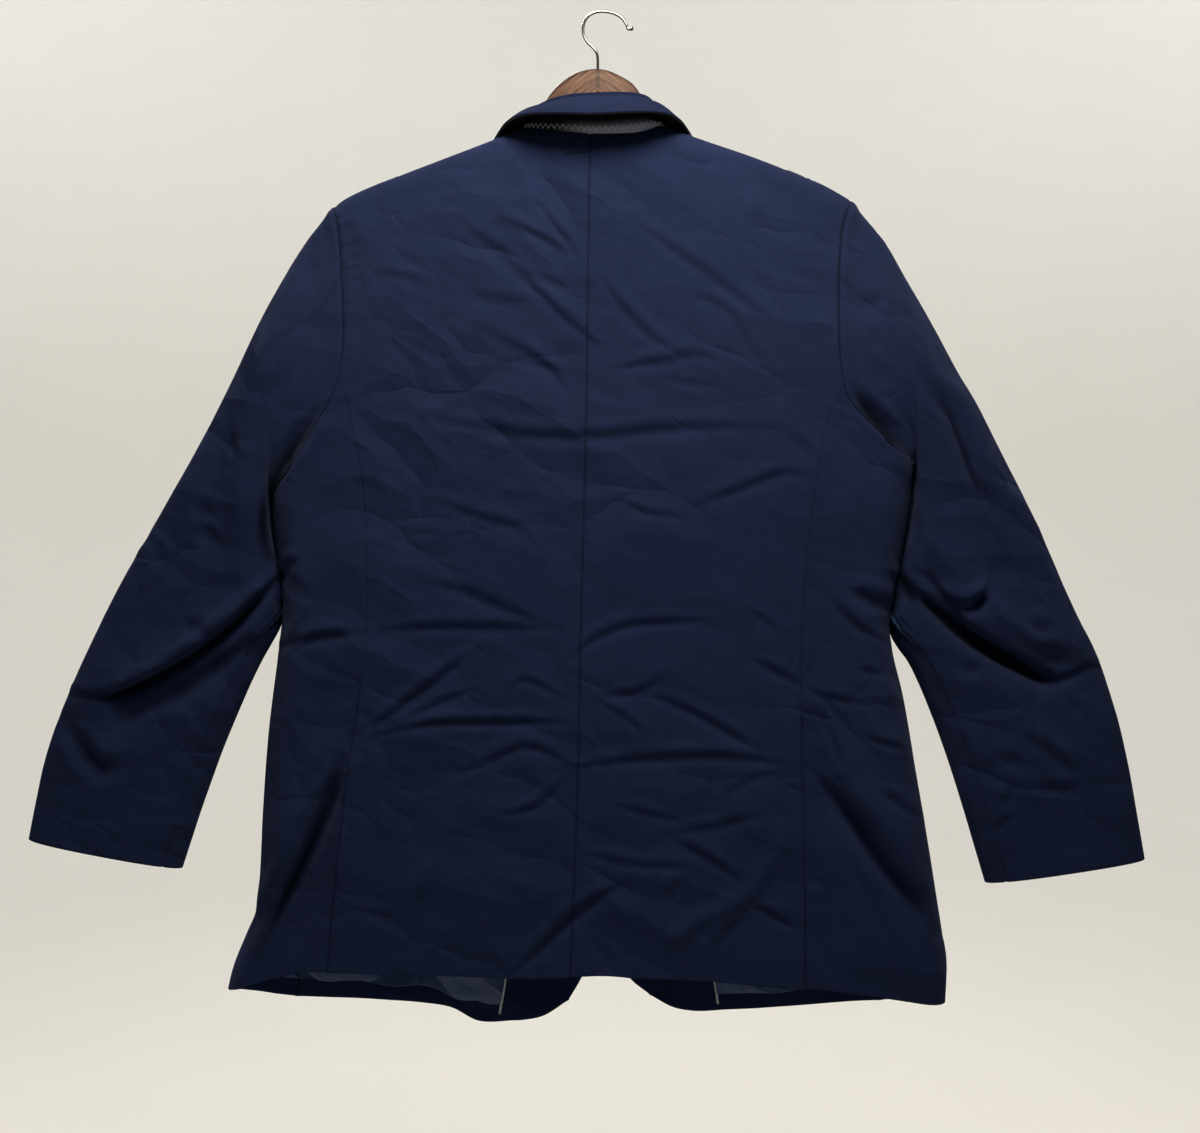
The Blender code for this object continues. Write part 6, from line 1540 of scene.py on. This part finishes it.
def lathe(name, outline, turns, material):
    """A closed form turned about Z from an outline of radius and height."""
    vertices = [(r * c, r * s, h) for r, h in outline for c, s in circle(turns)]
    faces = ring_faces(len(outline), turns)
    faces.append(tuple(reversed(range(turns))))
    faces.append(tuple(range((len(outline) - 1) * turns, len(outline) * turns)))
    mesh = new_mesh(name, vertices, faces)
    mesh.set_sharp_from_angle(angle=radians(LATHE_SHARP))
    mesh.materials.append(material)
    return placed(name, mesh)


def dress_button(node_name, radius):
    """A dished button with a rounded rim, and two threads crossed at its middle."""
    low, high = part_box(node_name)
    centre = (low + high) / 2
    points = np.array([v.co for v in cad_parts[node_name].data.vertices])
    normal = Vector(np.linalg.svd(points - points.mean(axis=0), full_matrices=False)[2][-1])
    normal = normal if normal.y > 0 else -normal
    half = BUTTON_THICKNESS / 2
    outline = [(radius * share, half * height) for share, height in BUTTON_OUTLINE]
    piece = lathe("disc_" + node_name, outline, BUTTON_TURNS, horn)
    turn = normal.to_track_quat("Z", "Y")
    piece.data.transform(turn.to_matrix().to_4x4())
    piece.location = centre
    stand_for(piece, node_name)
    reach = radius * THREAD_REACH
    for number, slope in enumerate((1, -1), 1):
        line = [centre + turn @ Vector((x * reach, slope * x * reach, half * height))
                for x, height in THREAD_PATH]
        thread("thread_%s_%d" % (node_name, number), line, THREAD * BUTTON_THREAD, dark_stitch)


def dress_hanger():
    """The hanger's sections, with more of them and rounded ends, and its hook with a ball at the end."""
    rows = np.array(HANGER)
    sections = along(rows, np.linspace(0, len(rows) - 1, (len(rows) - 1) * HANGER_PARTS + 1))
    count = len(sections)
    points = []
    for n, (x, top, bottom, half) in enumerate(sections):
        shrink = min(1.0, HANGER_TIP + HANGER_TIP_GROWTH * min(n, count - 1 - n))
        middle_y = ARM_BEND * (abs(x) / TIP_OUT) ** BEND_POWER
        for c, s in circle(HANGER_TURNS):
            square = 1.0 if c > 0 else HANGER_SQUARENESS
            z = (top + bottom) / 2 + shrink * (top - bottom) / 2 * np.sign(c) * abs(c) ** square
            y = middle_y + shrink * half * np.sign(s) * abs(s) ** square
            points.append((float(x), float(y), float(z)))
    last = (count - 1) * HANGER_TURNS
    caps = [tuple(range(HANGER_TURNS)), tuple(reversed(range(last, last + HANGER_TURNS)))]
    mesh = new_mesh("wood_hanger", points, ring_faces(count, HANGER_TURNS) + caps, turn_out=True)
    mesh.materials.append(wood)
    stand_for(placed("wood_hanger", mesh), "hanger")
    line = curve(HOOK_PATH, np.linspace(0, 1, HOOK_PARTS))
    stem = [(HOOK_PATH[0][0], 0.0, HOOK_PATH[0][1] - below) for below in HOOK_STEM]
    hook = thread("wire_hook", stem + [(x, 0.0, z) for x, z in line], HOOK_RADIUS, chrome, HOOK_ROUNDNESS)
    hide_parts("hook")
    angles = np.linspace(HOOK_TIP_GAP, pi - HOOK_TIP_GAP, HOOK_TIP_RINGS)
    ball = [(HOOK_TIP_RADIUS * sin(a), -HOOK_TIP_RADIUS * cos(a)) for a in angles]
    tip = lathe("hook_tip", ball, HOOK_TIP_TURNS, chrome)
    tip.location = (line[-1][0], 0.0, line[-1][1])
    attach(tip, "root")


def node(tree, kind, settings=None, **inputs):
    """A shader node with its settings and inputs; an input may be another node's output."""
    made = tree.nodes.new("ShaderNode" + kind)
    for key, value in (settings or {}).items():
        setattr(made, key, value)
    for key, value in inputs.items():
        by_number = key[0] == "i" and key[1:].isdigit()
        socket = made.inputs[int(key[1:]) if by_number else key.replace("_", " ")]
        if isinstance(value, bpy.types.NodeSocket):
            tree.links.new(value, socket)
        else:
            socket.default_value = value
    return made


def noise(tree, where, scale, detail, **inputs):
    return node(tree, "TexNoise", Vector=where, Scale=scale, Detail=detail, **inputs)


def numbered(inputs):
    return {"i%d" % number: value for number, value in enumerate(inputs)}


def worked(tree, operation, *inputs):
    """The outcome of a sum."""
    return node(tree, "Math", {"operation": operation}, **numbered(inputs)).outputs[0]


def ranged(tree, *inputs):
    """A value carried from one range to another: the value, the range's ends and the new range's ends."""
    return node(tree, "MapRange", **numbered(inputs)).outputs[0]


def mixed(tree, factor, first, second, way="MIX"):
    return node(tree, "MixRGB", {"blend_type": way}, Fac=factor, Color1=first, Color2=second).outputs[0]


def ramp(tree, factor, dark, light, start=0.0, end=1.0):
    """A colour that runs from dark to light while the factor runs from start to end."""
    made = node(tree, "ValToRGB", Fac=factor)
    for stop, position, colour in zip(made.color_ramp.elements, (start, end), (dark, light)):
        stop.position = position
        stop.color = colour
    return made.outputs[0]


def scaled(colour, share):
    return (*[min(1.0, c * share) for c in colour], 1.0)


def finish(name, roughness, **constants):
    """A new material, its shader with constant values on the shader's own sockets, and its node tree."""
    material = bpy.data.materials.new(name)
    material.use_nodes = True
    shader = material.node_tree.nodes["Principled BSDF"]
    shader.inputs["Roughness"].default_value = roughness
    for key, value in constants.items():
        shader.inputs[key.replace("_", " ")].default_value = value
    return material, shader, material.node_tree


def surfaced(material, shader, tone, height, strength, depth, **inputs):
    """The material with its tone and the height of its surface."""
    tree = material.node_tree
    tree.links.new(tone, shader.inputs["Base Color"])
    bump = node(tree, "Bump", Strength=strength, Distance=depth, Height=height, **inputs)
    tree.links.new(bump.outputs[0], shader.inputs["Normal"])
    return material


def woven(name, colour, roughness, weave_scale, weave_depth, fuzz, crumple, **constants):
    """Cloth: a slanting weave, fuzz, slow changes of tone, fine crumples, and painted shade from the shade
    attribute.
    """
    material, shader, tree = finish(name, roughness, **constants)
    where = node(tree, "TexCoord").outputs
    slant = node(tree, "Mapping", Vector=where["UV"], Rotation=(0, 0, radians(58)))
    weave = node(tree, "TexWave", Vector=slant.outputs[0], Scale=weave_scale, Distortion=1.2, Detail=2.0,
                 Detail_Scale=1.5).outputs["Fac"]
    fibre = noise(tree, where["Object"], 1100.0, 4.0, Roughness=0.7).outputs["Fac"]
    mottle = noise(tree, where["Object"], 70.0, 3.0, Roughness=0.6).outputs["Fac"]
    slow = noise(tree, where["Object"], 7.0, 2.0, Roughness=0.5).outputs["Fac"]
    tone = mixed(tree, weave, scaled(colour, 0.82), scaled(colour, 1.12))
    tone = mixed(tree, 0.45, tone, ramp(tree, fibre, scaled(colour, 0.75), scaled(colour, 1.55), 0.40, 0.66))
    patches = ramp(tree, mottle, (0.84, 0.84, 0.86, 1), (1.14, 1.14, 1.12, 1))
    tone = mixed(tree, 1.0, tone, patches, "MULTIPLY")
    broad = ramp(tree, slow, (0.90, 0.90, 0.92, 1), (1.10, 1.10, 1.08, 1))
    tone = mixed(tree, 1.0, tone, broad, "MULTIPLY")
    # The shade attribute darkens the tone towards near black: painted shade
    shade = node(tree, "Attribute", {"attribute_name": "shade"}).outputs["Fac"]
    tone = mixed(tree, worked(tree, "MULTIPLY", shade, SHADE_STRENGTH), tone, scaled(colour, 0.02))
    height = worked(tree, "MULTIPLY_ADD", fibre, fuzz, weave)
    stretched = node(tree, "Mapping", {"vector_type": "TEXTURE"}, Vector=where["Object"],
                     Rotation=(0, radians(24), 0), Scale=(1.25, 1.0, 0.72)).outputs[0]
    bend = noise(tree, stretched, 9.0, 3.0).outputs["Color"]
    bent = mixed(tree, 0.06, stretched, bend, "LINEAR_LIGHT")
    folds = node(tree, "TexVoronoi", {"feature": "DISTANCE_TO_EDGE"}, Vector=bent, Scale=9.0)
    calm = noise(tree, where["Object"], 4.0, 1.0).outputs["Fac"]
    sharp = worked(tree, "MULTIPLY", folds.outputs["Distance"], ranged(tree, calm, 0.36, 0.62, 0.40, 1.0))
    rumpled = node(tree, "Bump", Strength=1.0, Distance=crumple, Height=sharp).outputs[0]
    return surfaced(material, shader, tone, height, 0.6, weave_depth, Normal=rumpled)


def wood_finish():
    """Brown wood whose grain runs down and outward from the middle on both sides, darker at its middle joint,
    with painted shade where its surface turns away from the front and back.
    """
    material, shader, tree = finish("hanger_wood_grain", 0.55, Specular_IOR_Level=0.1)
    where = node(tree, "TexCoord").outputs["Object"]
    x, y, z = node(tree, "SeparateXYZ", Vector=where).outputs
    from_middle = worked(tree, "ABSOLUTE", worked(tree, "ADD", x, -HOOK_PATH[0][0]))
    joined = node(tree, "CombineXYZ", i0=from_middle, i1=y, i2=z).outputs[0]
    grain_way = node(tree, "Mapping", {"vector_type": "TEXTURE"}, Vector=joined,
                     Rotation=(0, radians(38), 0), Scale=(0.090, 0.0080, 0.0080)).outputs[0]
    grain = noise(tree, grain_way, 3.0, 6.0, Roughness=0.65, Distortion=0.6).outputs["Fac"]
    rings = node(tree, "TexWave", {"bands_direction": "Z"}, Vector=grain_way, Scale=0.45, Distortion=9.0,
                 Detail=4.0).outputs["Fac"]
    pores = noise(tree, grain_way, 22.0, 2.0).outputs[0]
    tone = ramp(tree, grain, (*WOOD_DARK, 1), (*WOOD_LIGHT, 1), 0.38, 0.62)
    tone = mixed(tree, 0.30, tone, mixed(tree, rings, scaled(WOOD_DARK, 1.3), scaled(WOOD_LIGHT, 1.05)))
    tone = mixed(tree, 0.25, tone, pores, "MULTIPLY")
    joint = ranged(tree, from_middle, 0.0, 0.0030, 0.45, 1.0)
    normal = node(tree, "SeparateXYZ", Vector=node(tree, "NewGeometry").outputs["Normal"]).outputs
    # Painted shade where the wood's surface turns away from the front and back
    edge = ranged(tree, worked(tree, "ABSOLUTE", normal[1]), 0.55, 0.99, 0.16, 1.0)
    tone = mixed(tree, 1.0, tone, worked(tree, "MULTIPLY", joint, edge), "MULTIPLY")
    return surfaced(material, shader, tone, grain, 0.35, 0.0003)


def fine_finish(name, colour, roughness, scale, depth, spread=0.15, **constants):
    """A smooth material with slight changes of tone and a fine uneven surface."""
    material, shader, tree = finish(name, roughness, **constants)
    where = node(tree, "TexCoord").outputs["Object"]
    uneven = noise(tree, where, scale, 4.0, Roughness=0.6).outputs["Fac"]
    tone = mixed(tree, uneven, scaled(colour, 1 - spread), scaled(colour, 1 + spread))
    return surfaced(material, shader, tone, uneven, 0.4, depth)


def corded():
    """Piping: pale thread wound slantwise round a cord."""
    material, shader, tree = finish("piping_cord", 0.55, Sheen_Weight=0.2)
    where = node(tree, "TexCoord").outputs["Object"]
    turn = node(tree, "Mapping", Vector=where, Rotation=(0.4, radians(35), 0))
    twist = node(tree, "TexWave", {"bands_direction": "Z"}, Vector=turn.outputs[0], Scale=260.0,
                 Distortion=0.5).outputs["Fac"]
    tone = mixed(tree, twist, scaled(PIPING_GREY, 0.7), scaled(PIPING_GREY, 1.1))
    return surfaced(material, shader, tone, twist, 0.6, 0.0003)


def build_stage():
    """A pale floor that curves up into a round wall, far enough out to stay behind every view."""
    outline = [(FLOOR_CENTRE, 0.0), (FLOOR_MIDDLE, 0.0), (FLOOR_RADIUS, 0.0)]
    outline += [(FLOOR_RADIUS + COVE * sin(a), COVE * (1 - cos(a)))
                for a in np.linspace(COVE_START, pi / 2, COVE_RINGS)]
    outline.append((FLOOR_RADIUS + COVE, WALL_TOP - FLOOR_Z))
    vertices = [(r * c, r * s, FLOOR_Z + h) for r, h in outline for c, s in circle(FLOOR_TURNS)]
    mesh = new_mesh("floor", vertices, ring_faces(len(outline), FLOOR_TURNS))
    mesh.materials.append(fine_finish("pale_floor", PALE, 0.9, 3.0, 0.0005, 0.02))
    placed("floor", mesh)


def build_lights():
    world = bpy.data.worlds.new("studio")
    world.use_nodes = True
    background = world.node_tree.nodes["Background"]
    background.inputs[0].default_value = WORLD_COLOUR
    background.inputs[1].default_value = WORLD_LIGHT
    bpy.context.scene.world = world
    for name, place, aim, size, power, colour, spread in LAMPS:
        lamp = bpy.data.lights.new(name, "AREA")
        lamp.shape = "DISK"
        lamp.size = size
        lamp.energy = power
        lamp.color = colour
        lamp.spread = radians(spread)
        holder = placed(name, lamp)
        holder.location = place
        holder.visible_camera = False
        holder.rotation_euler = (Vector(aim) - Vector(place)).to_track_quat("-Z", "Y").to_euler()


def build_camera():
    lens = bpy.data.cameras.new("photo_camera")
    lens.lens = LENS
    lens.sensor_width = SENSOR
    lens.sensor_fit = "HORIZONTAL"
    camera = placed("photo_camera", lens)
    camera.location = EYE
    camera.rotation_euler = (pi / 2, 0.0, 0.0)
    bpy.context.scene.camera = camera


wool = woven("navy_wool_cloth", NAVY, 0.80, 330.0, 0.00022, 0.8, 0.0145, Sheen_Weight=0.04,
             Sheen_Roughness=0.5, Sheen_Tint=(0.42, 0.52, 0.85, 1.0), Specular_IOR_Level=0.0)
satin = woven("lining_satin_cloth", SATIN_NAVY, 0.42, 700.0, 0.00005, 0.3, 0.0500, Sheen_Weight=0.02,
              Specular_IOR_Level=0.22, Anisotropic=0.4)
felt = woven("melton_felt", MELTON_GREY, 0.95, 150.0, 0.00012, 2.5, 0.0002, Specular_IOR_Level=0.0)
CLOTHS = {"navy_wool": wool, "lining_satin": satin, "melton": felt}
piping = corded()
stitch = fine_finish("stitching", THREAD_GREY, 0.6, 2500.0, 0.0001, 0.3, Sheen_Weight=0.2)
dark_stitch = fine_finish("dark_stitching", THREAD_NAVY, 0.8, 2500.0, 0.0001, 0.3, Specular_IOR_Level=0.1)
horn = fine_finish("button_horn", BUTTON_NAVY, 0.38, 260.0, 0.00005, 0.4, Coat_Weight=0.1)
wood = wood_finish()
chrome = fine_finish("hook_chrome", CHROME, 0.13, 900.0, 0.00002, 0.04, Metallic=1.0)

build_camera()
for side in SIDES:
    dress_body(side)
    dress_front(side)
    dress_lining(side)
    dress_sleeve(side)
    dress_patch("flap_" + side, side, FLAPS[side])
dress_patch("breast_welt", "left", WELT)
dress_collar()
back_stitches()
for name in sorted(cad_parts):
    if name.startswith("button_"):
        dress_button(name, FRONT_BUTTON_RADIUS if "front" in name else CUFF_BUTTON_RADIUS)
dress_hanger()
build_stage()
build_lights()
bpy.context.scene.view_settings.view_transform = "Standard"
